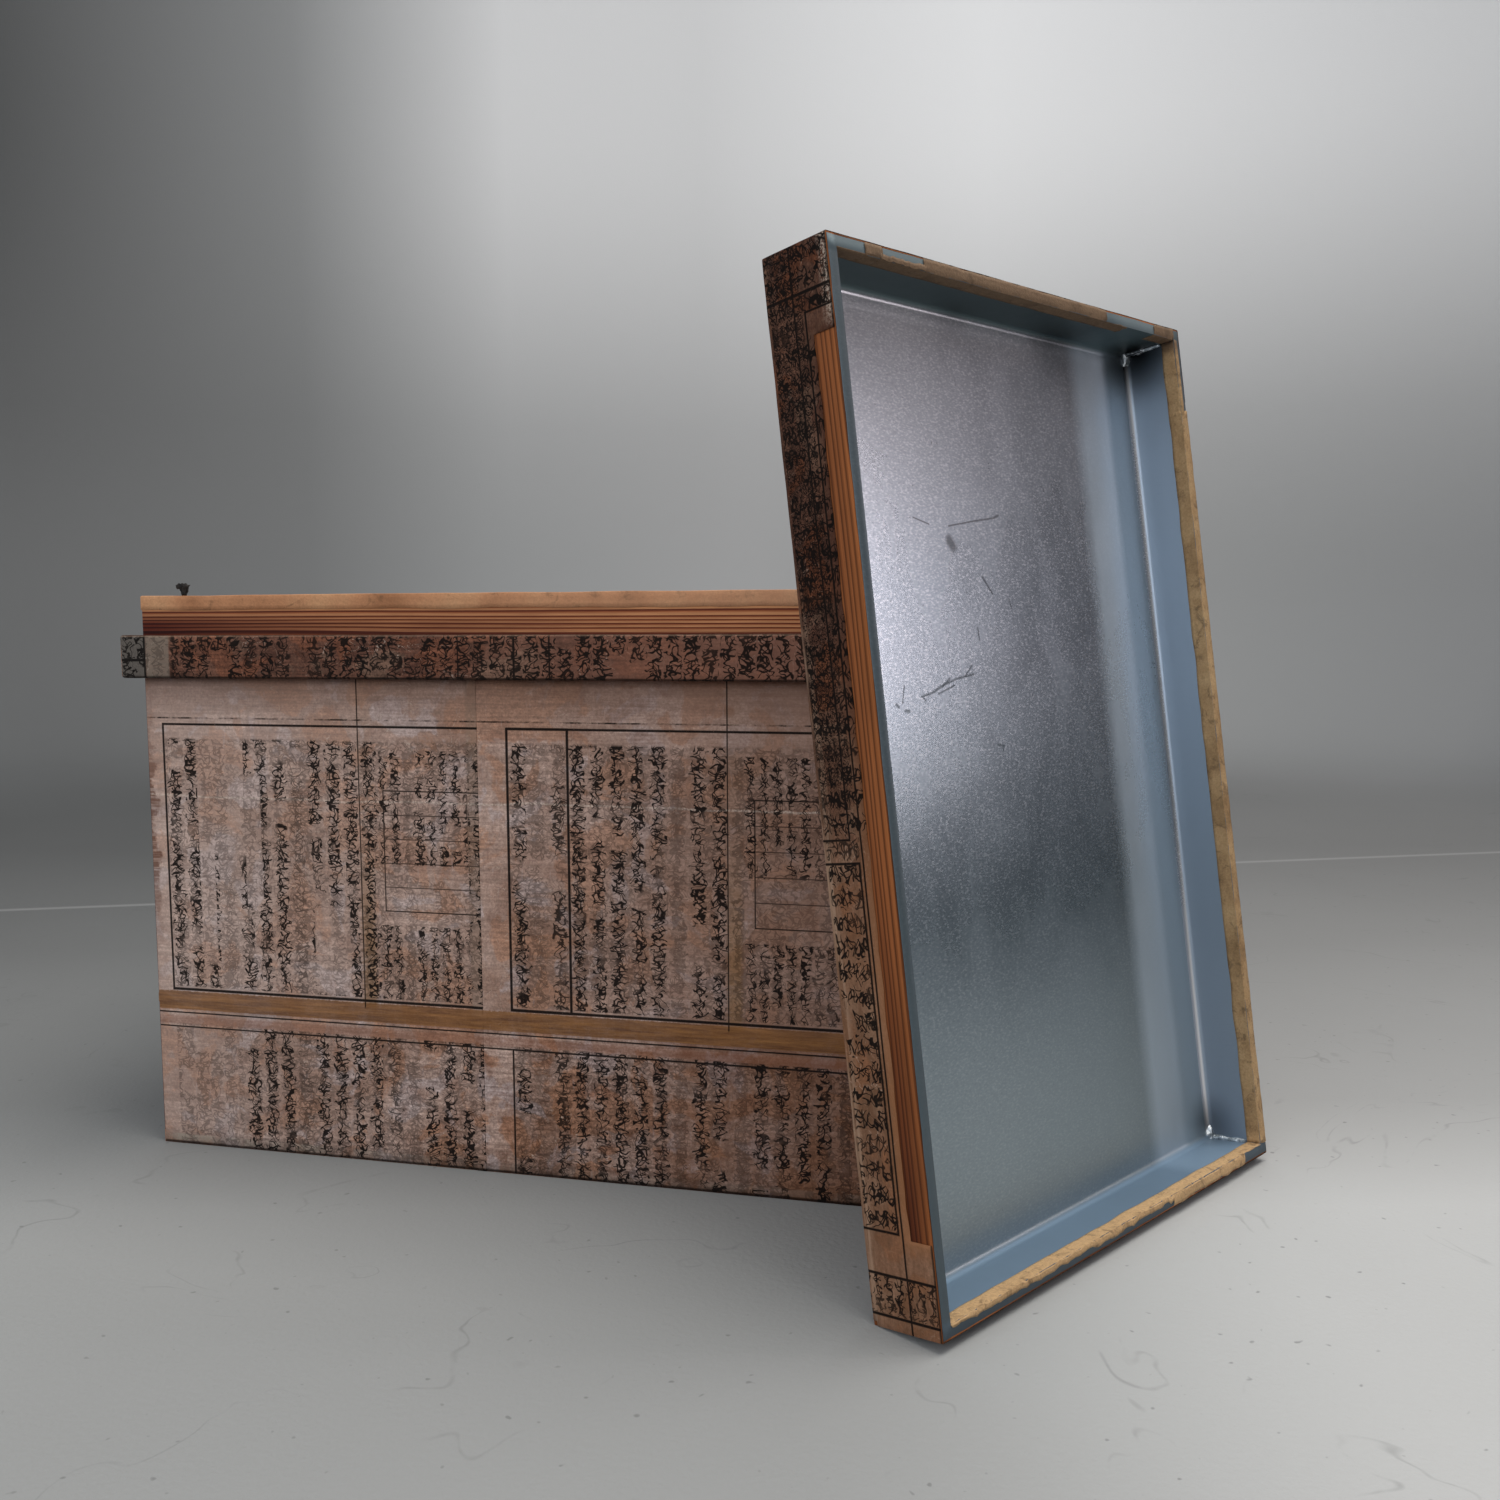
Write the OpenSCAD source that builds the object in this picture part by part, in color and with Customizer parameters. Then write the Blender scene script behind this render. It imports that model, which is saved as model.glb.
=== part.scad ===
// Tea chest: a cedar box with a soldered sheet metal liner, papered outside, and its deep lift-off lid.
// The chest stands open, and the lid stands on its left end beside it, leaning on the collar's corner.
// X runs along the chest, Y to its back and Z up, from the middle of its underside.

/* [Chest] */
// Length over the wall boards
body_l = 618; // [440:1:900]
// Width over the wall boards
body_w = 384; // [280:1:600]
// Height from the floor to the taped rim
rim_h = 440; // [400:1:640]
// Thickness of the wall boards
wall_t = 9; // [8:0.5:14]
// Thickness of the bottom boards
bottom_t = 10; // [8:0.5:16]
// Height of the lower wall boards
lower_board_h = 272; // [150:1:330]

/* [Collar] */
// Thickness of the collar battens
collar_t = 11.7; // [8:0.1:20]
// Height of the collar battens
collar_h = 32; // [20:1:50]
// Rounding of the battens' outer edges
collar_round = 1.5; // [0.5:0.1:3]
// Height of the bare neck above the collar
neck_h = 31; // [22:1:40]

/* [Lid] */
// Height of the lid
lid_h = 52; // [45:1:90]
// Thickness of the lid's wall boards
lid_wall_t = 8; // [7.5:0.5:14]
// Thickness of the lid's top boards
lid_top_t = 8.6; // [7:0.1:14]
// Gap between the neck and the lid's liner, all round
skirt_gap = 3.3; // [1.5:0.1:8]

/* [Sheet metal] */
// Thickness of the sheet
liner_t = 0.4; // [0.3:0.1:1]
// Inside radius of the lid pan's folds
fold_r = 3; // [1:0.5:6]
// Inside radius of the chest liner's upright folds
corner_r = 2; // [1:0.5:5]
// Width of the flange that is turned over the boards
flange_w = 7; // [3:0.5:7]
// Overlap of the chest liner's upright seam
seam_lap = 12; // [6:1:25]
// Distance of that seam from the liner's right end
seam_inset = 70; // [30:1:160]
// Size of the solder run round the chest liner's floor
cove_r = 3; // [1.5:0.5:6]
// Radius of the solder run up each corner of the lid pan
bead_r = 1.6; // [1:0.1:3]
// Radius of the solder left in the pan's floor corners
blob_r = 5; // [4:0.5:9]
// Length of the dog-ear folded in at one corner of the lid pan
ear_l = 11; // [6:1:20]
// Angle at which the dog-ear stands off the sheet
ear_lift = 24; // [10:1:40]

/* [Paper] */
// Thickness of the pasted paper
paper_t = 0.3; // [0.2:0.05:0.6]
// Width of the sheets on the chest's walls
sheet_w = 281; // [180:1:420]
// Height of the lower row of sheets
lower_row_h = 122; // [60:1:200]
// Overlap of neighbouring sheets
sheet_lap = 7; // [3:1:20]
// Height of the wood left bare along the lid's long walls
bare_h = 16; // [8:1:24]
// Length of the paper wrapped round each end of the lid's long walls
end_wrap = 56; // [20:1:90]
// Width of the tape folded down beside a rim
tape_fold = 11; // [6:1:20]
// Paper rubbed away at the edge that the lid stands on, and clear of the floor
edge_wear = 3; // [2.5:0.5:6]
// Radius of the torn tape that curls up from the chest's rim
curl_r = 4; // [2:0.5:5]

/* [Nails] */
// Diameter of the nails
nail_d = 2; // [1.5:0.1:2.5]
// Diameter of the nail heads
nail_head_d = 4.5; // [3.5:0.1:5]
// Thickness of the nail heads
nail_head_t = 0.8; // [0.5:0.1:1.2]
// Depth of the nails in the board that they hold
nail_grip = 18; // [12:1:25]
// Spacing of the nails along a joint, before it is evened out
nail_pitch = 96; // [60:1:160]
// Clearance round the nails
nail_gap = 0.02; // [0.01:0.01:0.1]

/* [Lid on end] */
// Lean of the lid from upright
lean = 8.18; // [3:0.01:15]
// Turn of the open lid from facing along the chest
turn = 31.93; // [20:0.01:60]
// Distance of the collar's corner from the lid's front edge
lean_across = 144; // [60:1:240]
// Gap kept between the lid and the collar's corner
lean_gap = 0.35; // [0.3:0.05:1]

/* [Hidden] */
$fn = 32;
over = 1;         // how far a cutting shape runs past the surface that it opens
mitre_slit = 0.6; // slit in a flange where two folds meet
nail_point = 3;   // length of a nail's point
nail_stop = 2.5;  // wood left in front of a collar nail's point
curl_w = 7;       // width of the torn curl
curl_x = 33;      // its distance from the chest's left end

rim_skin = liner_t + paper_t; // flange and tape on top of a wall
wall_top = rim_h - rim_skin;
joint_z = bottom_t + lower_board_h;
collar_top = rim_h - neck_h;
collar_low = collar_top - collar_h;
inner_l = body_l - 2 * wall_t;
inner_w = body_w - 2 * wall_t;
lid_grow = 2 * (skirt_gap + liner_t + lid_wall_t);
lid_l = body_l + lid_grow;
lid_w = body_w + lid_grow;
lid_wall_h = lid_h - lid_top_t - rim_skin;
pan_l = lid_l - 2 * lid_wall_t;
pan_w = lid_w - 2 * lid_wall_t;
pan_h = lid_h - lid_top_t - paper_t;

function spread(span, pitch) =
    let (gaps = max(1, round(span / pitch)))
    [for (i = [0 : gaps]) span * (i / gaps - 0.5)];

// A block on the floor, centred in plan
module block(l, w, h) {
    translate([-l / 2, -w / 2, 0]) cube([l, w, h]);
}

// A rectangular frame on the floor: l by w outside, with walls t thick
module frame(l, w, h, t) {
    linear_extrude(h) difference() {
        square([l, w], center = true);
        square([l - 2 * t, w - 2 * t], center = true);
    }
}

// A rectangle with round corners
module round_rect(l, w, r) {
    square([l - 2 * r, w], center = true);
    square([l, w - 2 * r], center = true);
    for (x = [-1, 1], y = [-1, 1]) translate([x * (l / 2 - r), y * (w / 2 - r)]) circle(r);
}

// The section of a trough: w wide and h high, with the two lower corners round
module trough(w, h, r) {
    translate([-w / 2, r]) square([w, h - r]);
    translate([r - w / 2, 0]) square([w - 2 * r, h]);
    for (x = [-1, 1]) translate([x * (w / 2 - r), r]) circle(r);
}

// A block whose four lower edges are round, as a folded sheet leaves them
module folded_block(l, w, h, r) {
    intersection() {
        rotate([90, 0, 90]) translate([0, 0, -l / 2]) linear_extrude(l) trough(w, h, r);
        rotate([90, 0, 0]) translate([0, 0, -w / 2]) linear_extrude(w) trough(l, h, r);
    }
}

// A block whose eight lying edges are round, as a planed batten's are
module planed_block(l, w, h, r) {
    intersection() {
        rotate([90, 0, 90]) translate([0, h / 2, -l / 2]) linear_extrude(l) round_rect(w, h, r);
        rotate([90, 0, 0]) translate([0, h / 2, -w / 2]) linear_extrude(w) round_rect(l, h, r);
    }
}

// A sheet metal flange, turned outwards round an opening of l by w, and slit at its corners
module flange(l, w) {
    difference() {
        frame(l + 2 * flange_w, w + 2 * flange_w, liner_t, flange_w + liner_t);
        for (x = [-1, 1], y = [-1, 1]) translate([x * l / 2, y * w / 2, -over])
            rotate(atan2(y, x)) translate([0, -mitre_slit / 2, 0])
                cube([2 * flange_w, mitre_slit, liner_t + 2 * over]);
    }
}

// A flange like that, but cut away square at its corners
module notched_flange(l, w) {
    linear_extrude(liner_t) difference() {
        union() {
            square([l + 2 * flange_w, w], center = true);
            square([l, w + 2 * flange_w], center = true);
        }
        square([l - 2 * liner_t, w - 2 * liner_t], center = true);
    }
}

// A frame on the floor with round corners to its opening
module rounded_frame(l, w, h, t, r) {
    linear_extrude(h) difference() {
        square([l, w], center = true);
        round_rect(l - 2 * t, w - 2 * t, r);
    }
}

// Tape over the top of walls of l by w and folded down inside them; r is the radius of the corners there
module tape(l, w, t, r, inside) {
    difference() {
        translate([0, 0, -inside])
            if (r > 0) rounded_frame(l, w, inside, t + paper_t, r - paper_t);
            else frame(l, w, inside, t + paper_t);
        translate([0, 0, -inside - paper_t])
            if (r > 0) rounded_frame(l, w, inside, t, r);
            else frame(l, w, inside, t);
    }
}

// A nail with the top of its head at the origin, pointing down
module nail(grip) {
    translate([0, 0, -nail_head_t]) cylinder(d = nail_head_d, h = nail_head_t);
    translate([0, 0, nail_point - grip]) cylinder(d = nail_d, h = grip - nail_point - nail_head_t);
    translate([0, 0, -grip]) cylinder(d1 = nail_d / 4, d2 = nail_d, h = nail_point);
}

// The hole for that nail
module nail_hole(grip) {
    depth = nail_head_t + nail_gap;
    translate([0, 0, -depth]) cylinder(d = nail_head_d + 2 * nail_gap, h = depth + over);
    translate([0, 0, -grip - nail_gap]) cylinder(d = nail_d + 2 * nail_gap, h = grip);
}

// Where the nails go, each with its head at the surface and pointing into the wood
module at_wall_nails() {
    height = wall_top - bottom_t - nail_pitch;
    for (x = [-1, 1], y = [-1, 1], z = spread(height, nail_pitch))
        translate([x * (body_l - wall_t) / 2, y * body_w / 2, (wall_top + bottom_t) / 2 + z])
            rotate([-90 * y, 0, 0]) children();
}

module at_bottom_nails() {
    for (x = spread(body_l - nail_pitch, nail_pitch), y = [-1, 1])
        translate([x, y * (body_w - wall_t) / 2, 0]) rotate([180, 0, 0]) children();
    for (x = [-1, 1], y = spread(body_w - nail_pitch, nail_pitch))
        translate([x * (body_l - wall_t) / 2, y, 0]) rotate([180, 0, 0]) children();
}

module at_collar_nails() {
    z = collar_top - collar_h / 2;
    for (x = spread(body_l - nail_pitch, nail_pitch), y = [-1, 1])
        translate([x, y * (body_w / 2 + collar_t), z]) rotate([-90 * y, 0, 0]) children();
    for (x = [-1, 1], y = spread(body_w - nail_pitch, nail_pitch))
        translate([x * (body_l / 2 + collar_t), y, z]) rotate([0, 90 * x, 0]) children();
}

module at_lid_wall_nails() {
    for (x = [-1, 1], y = [-1, 1], z = [1, 3])
        translate([x * (lid_l - lid_wall_t) / 2, y * lid_w / 2, rim_skin + lid_wall_h * z / 4])
            rotate([-90 * y, 0, 0]) children();
}

module at_lid_top_nails() {
    for (x = spread(lid_l - nail_pitch, nail_pitch), y = [-1, 1])
        translate([x, y * (lid_w - lid_wall_t) / 2, lid_h]) children();
    for (x = [-1, 1], y = spread(lid_w - nail_pitch, nail_pitch))
        translate([x * (lid_l - lid_wall_t) / 2, y, lid_h]) children();
}

// Lengths of the nails, from the head to the point
wall_nail = wall_t + nail_grip;
bottom_nail = bottom_t + nail_grip;
collar_nail = collar_t + wall_t - nail_stop;
lid_wall_nail = lid_wall_t + nail_grip;
lid_top_nail = lid_top_t + nail_grip;

module chest_nail_holes() {
    at_wall_nails() nail_hole(wall_nail);
    at_bottom_nails() nail_hole(bottom_nail);
    at_collar_nails() nail_hole(collar_nail);
}

module lid_nail_holes() {
    at_lid_wall_nails() nail_hole(lid_wall_nail);
    at_lid_top_nails() nail_hole(lid_top_nail);
}

// The lid is drawn as it sits on the chest, over its own rim, and then stood on its left end
open_dir = [cos(lean) * cos(turn), -cos(lean) * sin(turn), sin(lean)];
across_dir = [sin(turn), cos(turn), 0];
long_dir = [-sin(lean) * cos(turn), sin(lean) * sin(turn), cos(lean)];
corner = [
    body_l / 2 + collar_t + paper_t,
    -body_w / 2 - collar_t - paper_t,
    collar_top - collar_round,
];
stand_off = paper_t + lean_gap;
climb = (corner[2] + stand_off * sin(lean)) / cos(lean);
foot = corner + stand_off * open_dir - lean_across * across_dir - climb * long_dir;

module on_end() {
    translate(foot) rotate([0, -90 - lean, -turn]) translate([lid_l / 2, lid_w / 2, -lid_h]) children();
}

// Three boards side by side across the chest, numbered -1, 0 and 1 from the front
module bottom_board(side) {
    w = body_w / 3;
    color("#9a6438") difference() {
        translate([0, side * w, 0]) block(body_l, w, bottom_t);
        at_bottom_nails() nail_hole(bottom_nail);
    }
}

module bottom_front_board() bottom_board(-1);
module bottom_middle_board() bottom_board(0);
module bottom_back_board() bottom_board(1);

// The long walls run right through, and the end walls stand between them
module long_board(side, low, high) {
    color("#a86d3d") difference() {
        translate([0, side * (body_w - wall_t) / 2, low]) block(body_l, wall_t, high - low);
        chest_nail_holes();
    }
}

module end_board(side, low, high) {
    color("#a86d3d") difference() {
        translate([side * (body_l - wall_t) / 2, 0, low]) block(wall_t, inner_w, high - low);
        chest_nail_holes();
    }
}

module front_lower_board() long_board(-1, bottom_t, joint_z);
module front_upper_board() long_board(-1, joint_z, wall_top);
module back_lower_board() long_board(1, bottom_t, joint_z);
module back_upper_board() long_board(1, joint_z, wall_top);
module left_lower_board() end_board(-1, bottom_t, joint_z);
module left_upper_board() end_board(-1, joint_z, wall_top);
module right_lower_board() end_board(1, bottom_t, joint_z);
module right_upper_board() end_board(1, joint_z, wall_top);

// The collar's outer shape, grown by skin for the paper pasted over it
module collar_shape(skin) {
    translate([0, 0, collar_low - skin]) planed_block(
        body_l + 2 * (collar_t + skin), body_w + 2 * (collar_t + skin),
        collar_h + 2 * skin, collar_round + skin
    );
}

module chest_core() {
    block(body_l, body_w, rim_h + over);
}

// The end battens run past the corners, and the long ones stop between them
module end_batten(side) {
    color("#80563a") difference() {
        intersection() {
            collar_shape(0);
            translate([side * (body_l + collar_t) / 2, 0, 0]) block(collar_t, 2 * body_w, rim_h);
        }
        at_collar_nails() nail_hole(collar_nail);
    }
}

module long_batten(side) {
    color("#80563a") difference() {
        intersection() {
            collar_shape(0);
            translate([0, side * (body_w + collar_t) / 2, 0]) block(body_l, collar_t, rim_h);
        }
        at_collar_nails() nail_hole(collar_nail);
    }
}

module collar_front_batten() long_batten(-1);
module collar_back_batten() long_batten(1);
module collar_left_batten() end_batten(-1);
module collar_right_batten() end_batten(1);

module wall_nails() color("#4a4038") at_wall_nails() nail(wall_nail);
module bottom_nails() color("#4a4038") at_bottom_nails() nail(bottom_nail);
module collar_nails() color("#4a4038") at_collar_nails() nail(collar_nail);

// The upright seam of the chest's liner, where the sheet's end laps over its beginning
module liner_seam() {
    x = inner_l / 2 - seam_inset;
    y = inner_w / 2 - 2 * liner_t;
    translate([x, y, bottom_t + liner_t])
        cube([seam_lap, liner_t, wall_top - bottom_t - liner_t]);
}

// The tape where it goes over that lap
module seam_tape() {
    x = inner_l / 2 - seam_inset;
    y = inner_w / 2 - 2 * liner_t;
    translate([x - paper_t, y - paper_t, rim_h - tape_fold])
        cube([seam_lap + 2 * paper_t, liner_t + paper_t, tape_fold]);
}

// One sheet folded round the four walls, with its top edge turned out over the boards
module liner_walls() {
    low = bottom_t + liner_t;
    top = rim_h - paper_t;
    color("#7f8890") {
        translate([0, 0, low]) linear_extrude(top - low) difference() {
            round_rect(inner_l, inner_w, corner_r + liner_t);
            round_rect(inner_l - 2 * liner_t, inner_w - 2 * liner_t, corner_r);
        }
        liner_seam();
        translate([0, 0, wall_top]) difference() {
            flange(inner_l, inner_w);
            linear_extrude(liner_t) round_rect(inner_l - 2 * liner_t, inner_w - 2 * liner_t, corner_r);
        }
    }
}

module liner_floor() {
    color("#79828a") translate([0, 0, bottom_t]) block(inner_l, inner_w, liner_t);
}

// A cove of solder round the floor, and a bead along the seam
module liner_solder() {
    l = inner_l - 2 * liner_t;
    w = inner_w - 2 * liner_t;
    low = bottom_t + liner_t;
    color("#b4b9bd") difference() {
        intersection() {
            union() {
                translate([0, 0, low]) difference() {
                    block(l, w, cove_r);
                    folded_block(l, w, 2 * cove_r, cove_r);
                }
                translate([inner_l / 2 - seam_inset, w / 2, low]) linear_extrude(rim_h - tape_fold - low)
                    intersection() {
                        circle(1.5 * liner_t);
                        translate([-2 * liner_t, -2 * liner_t]) square(2 * liner_t);
                    }
            }
            translate([0, 0, low]) linear_extrude(wall_top - low) round_rect(l, w, corner_r);
        }
        liner_seam();
    }
}

// Sheets pasted on a wall of w by h, drawn flat: two rows, with laps where the sheets meet
module sheets(w, h) {
    cube([w, h, paper_t]);
    translate([0, lower_row_h - sheet_lap, 0]) cube([w, sheet_lap, 2 * paper_t]);
    for (x = [sheet_w : sheet_w : w - sheet_lap])
        translate([x - sheet_lap, 0, 0]) cube([sheet_lap, h, 2 * paper_t]);
}

// The paper reaches from just above the floor to the paper under the collar
paper_low = 1;
paper_h = collar_low - paper_t - paper_low;

module front_paper() {
    w = body_l + 2 * paper_t;
    color("#8d7466") translate([-w / 2, -body_w / 2, paper_low]) rotate([90, 0, 0]) sheets(w, paper_h);
}

module back_paper() {
    w = body_l + 2 * paper_t;
    color("#8d7466") translate([w / 2, body_w / 2, paper_low]) rotate([90, 0, 180]) sheets(w, paper_h);
}

module left_paper() {
    color("#8d7466") translate([-body_l / 2, body_w / 2, paper_low]) rotate([90, 0, -90])
        sheets(body_w, paper_h);
}

module right_paper() {
    color("#8d7466") translate([body_l / 2, -body_w / 2, paper_low]) rotate([90, 0, 90])
        sheets(body_w, paper_h);
}

module collar_paper() {
    color("#6f4e3c") difference() {
        collar_shape(paper_t);
        collar_shape(0);
        chest_core();
    }
}

// Tape over the chest's rim, with a torn bit curling up near the front left corner
module neck_tape() {
    color("#b5825a") {
        difference() {
            union() {
                translate([0, 0, rim_h]) tape(body_l, body_w, wall_t + liner_t, corner_r, tape_fold);
                translate([0, 0, rim_h - tape_fold])
                    frame(body_l + 2 * paper_t, body_w + 2 * paper_t, tape_fold, paper_t);
                seam_tape();
            }
            liner_seam();
        }
        translate([curl_x - body_l / 2, -body_w / 2, rim_h + curl_r - paper_t])
            rotate([0, 90, 0]) linear_extrude(curl_w) difference() {
                circle(curl_r);
                circle(curl_r - paper_t);
                translate([-curl_r - over, 0]) square(2 * curl_r + over);
            }
    }
}

// The lid's long walls run right through, and its end walls stand between them
module lid_long_wall(side) {
    color("#8b4f24") difference() {
        translate([0, side * (lid_w - lid_wall_t) / 2, rim_skin]) block(lid_l, lid_wall_t, lid_wall_h);
        lid_nail_holes();
    }
}

module lid_end_wall(side) {
    color("#8b4f24") difference() {
        translate([side * (lid_l - lid_wall_t) / 2, 0, rim_skin]) block(lid_wall_t, pan_w, lid_wall_h);
        lid_nail_holes();
    }
}

module lid_top_board(side) {
    color("#8b4f24") difference() {
        translate([0, side * lid_w / 4, lid_h - lid_top_t]) block(lid_l, lid_w / 2, lid_top_t);
        at_lid_top_nails() nail_hole(lid_top_nail);
    }
}

module lid_front_wall() on_end() lid_long_wall(-1);
module lid_back_wall() on_end() lid_long_wall(1);
module lid_left_end() on_end() lid_end_wall(-1);
module lid_right_end() on_end() lid_end_wall(1);
module lid_front_top_board() on_end() lid_top_board(-1);
module lid_back_top_board() on_end() lid_top_board(1);
module lid_wall_nails() color("#4a4038") on_end() at_lid_wall_nails() nail(lid_wall_nail);
module lid_top_nails() color("#4a4038") on_end() at_lid_top_nails() nail(lid_top_nail);

// The pan is drawn with its floor down, and turned over into the lid
module in_lid() {
    on_end() translate([0, 0, lid_h - lid_top_t]) rotate([180, 0, 0]) children();
}

// The hollow of the pan
module pan_hollow(h) {
    translate([0, 0, liner_t]) folded_block(pan_l - 2 * liner_t, pan_w - 2 * liner_t, h, fold_r);
}

// The spare metal of one corner, folded in against the end wall and sprung off it a little
module dog_ear() {
    translate([pan_l / 2 - liner_t / 2, -pan_w / 2 + liner_t / 2, fold_r + 2 * liner_t])
        rotate(90 + ear_lift) rotate([90, 0, 0])
            linear_extrude(liner_t) polygon([[0, 0], [ear_l, ear_l / 3], [ear_l, ear_l], [0, 1.3 * ear_l]]);
}

// One sheet folded up into a pan, with its rim turned out over the wall boards, clear of their corners
module lid_liner() {
    color("#828b93") in_lid() {
        difference() {
            folded_block(pan_l, pan_w, pan_h, fold_r + liner_t);
            pan_hollow(pan_h);
        }
        translate([0, 0, pan_h - liner_t]) notched_flange(pan_l, pan_w);
        intersection() {
            dog_ear();
            block(pan_l, pan_w, pan_h);
        }
    }
}

// Solder run up the pan's four corners to the tape, with a blob left at the foot of each
module lid_solder() {
    bead_h = lid_h - lid_top_t - tape_fold - liner_t;
    color("#c3c7ca") in_lid() difference() {
        intersection() {
            for (x = [-1, 1], y = [-1, 1])
                translate([x * (pan_l / 2 - liner_t), y * (pan_w / 2 - liner_t), liner_t]) {
                    cylinder(r = bead_r, h = bead_h);
                    sphere(blob_r);
                }
            pan_hollow(bead_h);
        }
        dog_ear();
    }
}

// Tape over three sides of the rim. The front wall has none, and its flange lies bare.
module lid_rim_tape() {
    edge_t = lid_wall_t + liner_t;
    color("#bd935f") on_end() rotate([180, 0, 0]) difference() {
        tape(lid_l, lid_w, edge_t, 0, tape_fold);
        translate([0, lid_w - edge_t - paper_t, -tape_fold - over])
            block(lid_l + 2 * over, lid_w, tape_fold + paper_t + 2 * over);
    }
}

// The lid's top paper stops short of the edge that the lid stands on
module lid_top_paper() {
    color("#85695a") on_end() translate([edge_wear / 2, 0, lid_h]) block(lid_l - edge_wear, lid_w, paper_t);
}

// Paper along a long wall, drawn flat with the rim at its foot: full depth only at the ends
module lid_side_sheet() {
    h = lid_h - rim_skin;
    linear_extrude(paper_t) difference() {
        square([lid_l, h]);
        translate([end_wrap, -over]) square([lid_l - 2 * end_wrap, bare_h + over]);
        translate([-over, h - edge_wear]) square([edge_wear + over, edge_wear + over]);
    }
}

module lid_front_paper() {
    color("#7d6557") on_end() translate([-lid_l / 2, -lid_w / 2, rim_skin]) rotate([90, 0, 0])
        lid_side_sheet();
}

module lid_back_paper() {
    color("#7d6557") on_end() mirror([0, 1, 0]) translate([-lid_l / 2, -lid_w / 2, rim_skin])
        rotate([90, 0, 0]) lid_side_sheet();
}

// Paper on an end wall, short of the top edge by gap
module lid_end_sheet(side, gap) {
    color("#7d6557") translate([side * (lid_l + paper_t) / 2, 0, rim_skin])
        block(paper_t, lid_w, lid_h - rim_skin - gap);
}

module lid_left_paper() on_end() lid_end_sheet(-1, edge_wear);
module lid_right_paper() on_end() lid_end_sheet(1, 0);

bottom_front_board();
bottom_middle_board();
bottom_back_board();
front_lower_board();
front_upper_board();
back_lower_board();
back_upper_board();
left_lower_board();
left_upper_board();
right_lower_board();
right_upper_board();
collar_front_batten();
collar_back_batten();
collar_left_batten();
collar_right_batten();
wall_nails();
bottom_nails();
collar_nails();
liner_walls();
liner_floor();
liner_solder();
front_paper();
back_paper();
left_paper();
right_paper();
collar_paper();
neck_tape();
lid_front_wall();
lid_back_wall();
lid_left_end();
lid_right_end();
lid_front_top_board();
lid_back_top_board();
lid_wall_nails();
lid_top_nails();
lid_liner();
lid_solder();
lid_rim_tape();
lid_top_paper();
lid_front_paper();
lid_back_paper();
lid_left_paper();
lid_right_paper();
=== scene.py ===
"""The looks of a papered tea chest and its lid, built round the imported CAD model."""
from math import cos, radians, sin

import bmesh
import bpy
from mathutils import Matrix, Vector, noise


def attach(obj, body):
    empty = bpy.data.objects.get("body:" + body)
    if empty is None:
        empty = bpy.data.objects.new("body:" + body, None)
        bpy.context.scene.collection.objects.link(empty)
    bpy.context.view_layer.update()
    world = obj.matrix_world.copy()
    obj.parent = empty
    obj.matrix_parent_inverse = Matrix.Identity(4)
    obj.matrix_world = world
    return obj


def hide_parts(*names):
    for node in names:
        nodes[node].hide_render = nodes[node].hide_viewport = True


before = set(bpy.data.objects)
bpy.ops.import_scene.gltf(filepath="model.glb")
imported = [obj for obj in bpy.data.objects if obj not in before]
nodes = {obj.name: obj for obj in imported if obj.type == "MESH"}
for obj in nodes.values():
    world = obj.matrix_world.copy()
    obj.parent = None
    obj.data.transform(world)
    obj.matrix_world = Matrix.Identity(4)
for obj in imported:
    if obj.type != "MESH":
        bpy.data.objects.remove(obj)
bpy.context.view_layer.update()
scene = bpy.context.scene

# The camera stands low in front of the chest, a little to its right, and looks slightly down. Its place
# and its turns were fitted to the edges of the chest and of the lid.
camera = bpy.data.objects.new("camera", bpy.data.cameras.new("camera"))
camera.data.lens = 33.45
camera.data.sensor_width = 36
EYE, AIM, DOWN, TILT = (0.4099, -1.1493, 0.4186), radians(13.47), radians(5.29), radians(-0.26)
camera.matrix_world = (
    Matrix.Translation(EYE)
    @ Matrix.Rotation(AIM, 4, "Z")
    @ Matrix.Rotation(radians(90) - DOWN, 4, "X")
    @ Matrix.Rotation(TILT, 4, "Z")
)
scene.collection.objects.link(camera)
scene.camera = camera
scene.view_settings.view_transform = "Standard"


# The studio: a pale plastered floor that curves up into a round wall, made by spinning its outline. The
# wall is slate on the right, where the metal mirrors it, and its paleness high up behind the chest is a
# painted glow of light. The floor is painted lighter in front and to the right and deeper to the back, a
# painted falloff of light, and goes slate far out on the right. A joint crosses it.
def linear(hex_code):
    """An sRGB hex colour as linear RGBA."""
    parts = [int(hex_code[i : i + 2], 16) / 255 for i in (1, 3, 5)]
    return (*(c / 12.92 if c <= 0.04045 else ((c + 0.055) / 1.055) ** 2.4 for c in parts), 1)


def add(kind, *inputs, links=None, stops=None, **settings):
    """Adds a node of a kind and operation: its open inputs in order, others by name, and its settings."""
    kind, *operation = kind.split()
    node = tree.nodes.new("ShaderNode" + kind)
    if operation:
        node.operation = operation[0]
    for name, value in settings.items():
        setattr(node, name, value)
    pairs = list(zip([s for s in node.inputs if s.enabled], inputs))
    pairs += [(node.inputs[name], value) for name, value in (links or {}).items()]
    for socket, value in pairs:
        if isinstance(value, bpy.types.Node):
            value = next(s for s in value.outputs if s.enabled)
        if isinstance(value, bpy.types.NodeSocket):
            tree.links.new(value, socket)
        elif value is not None:
            socket.default_value = linear(value) if isinstance(value, str) else value
    for i, (place, colour) in enumerate(stops or ()):
        points = node.color_ramp.elements
        point = points[i] if i < 2 else points.new(place)
        point.position = place
        point.color = linear(colour)
    return node


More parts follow.
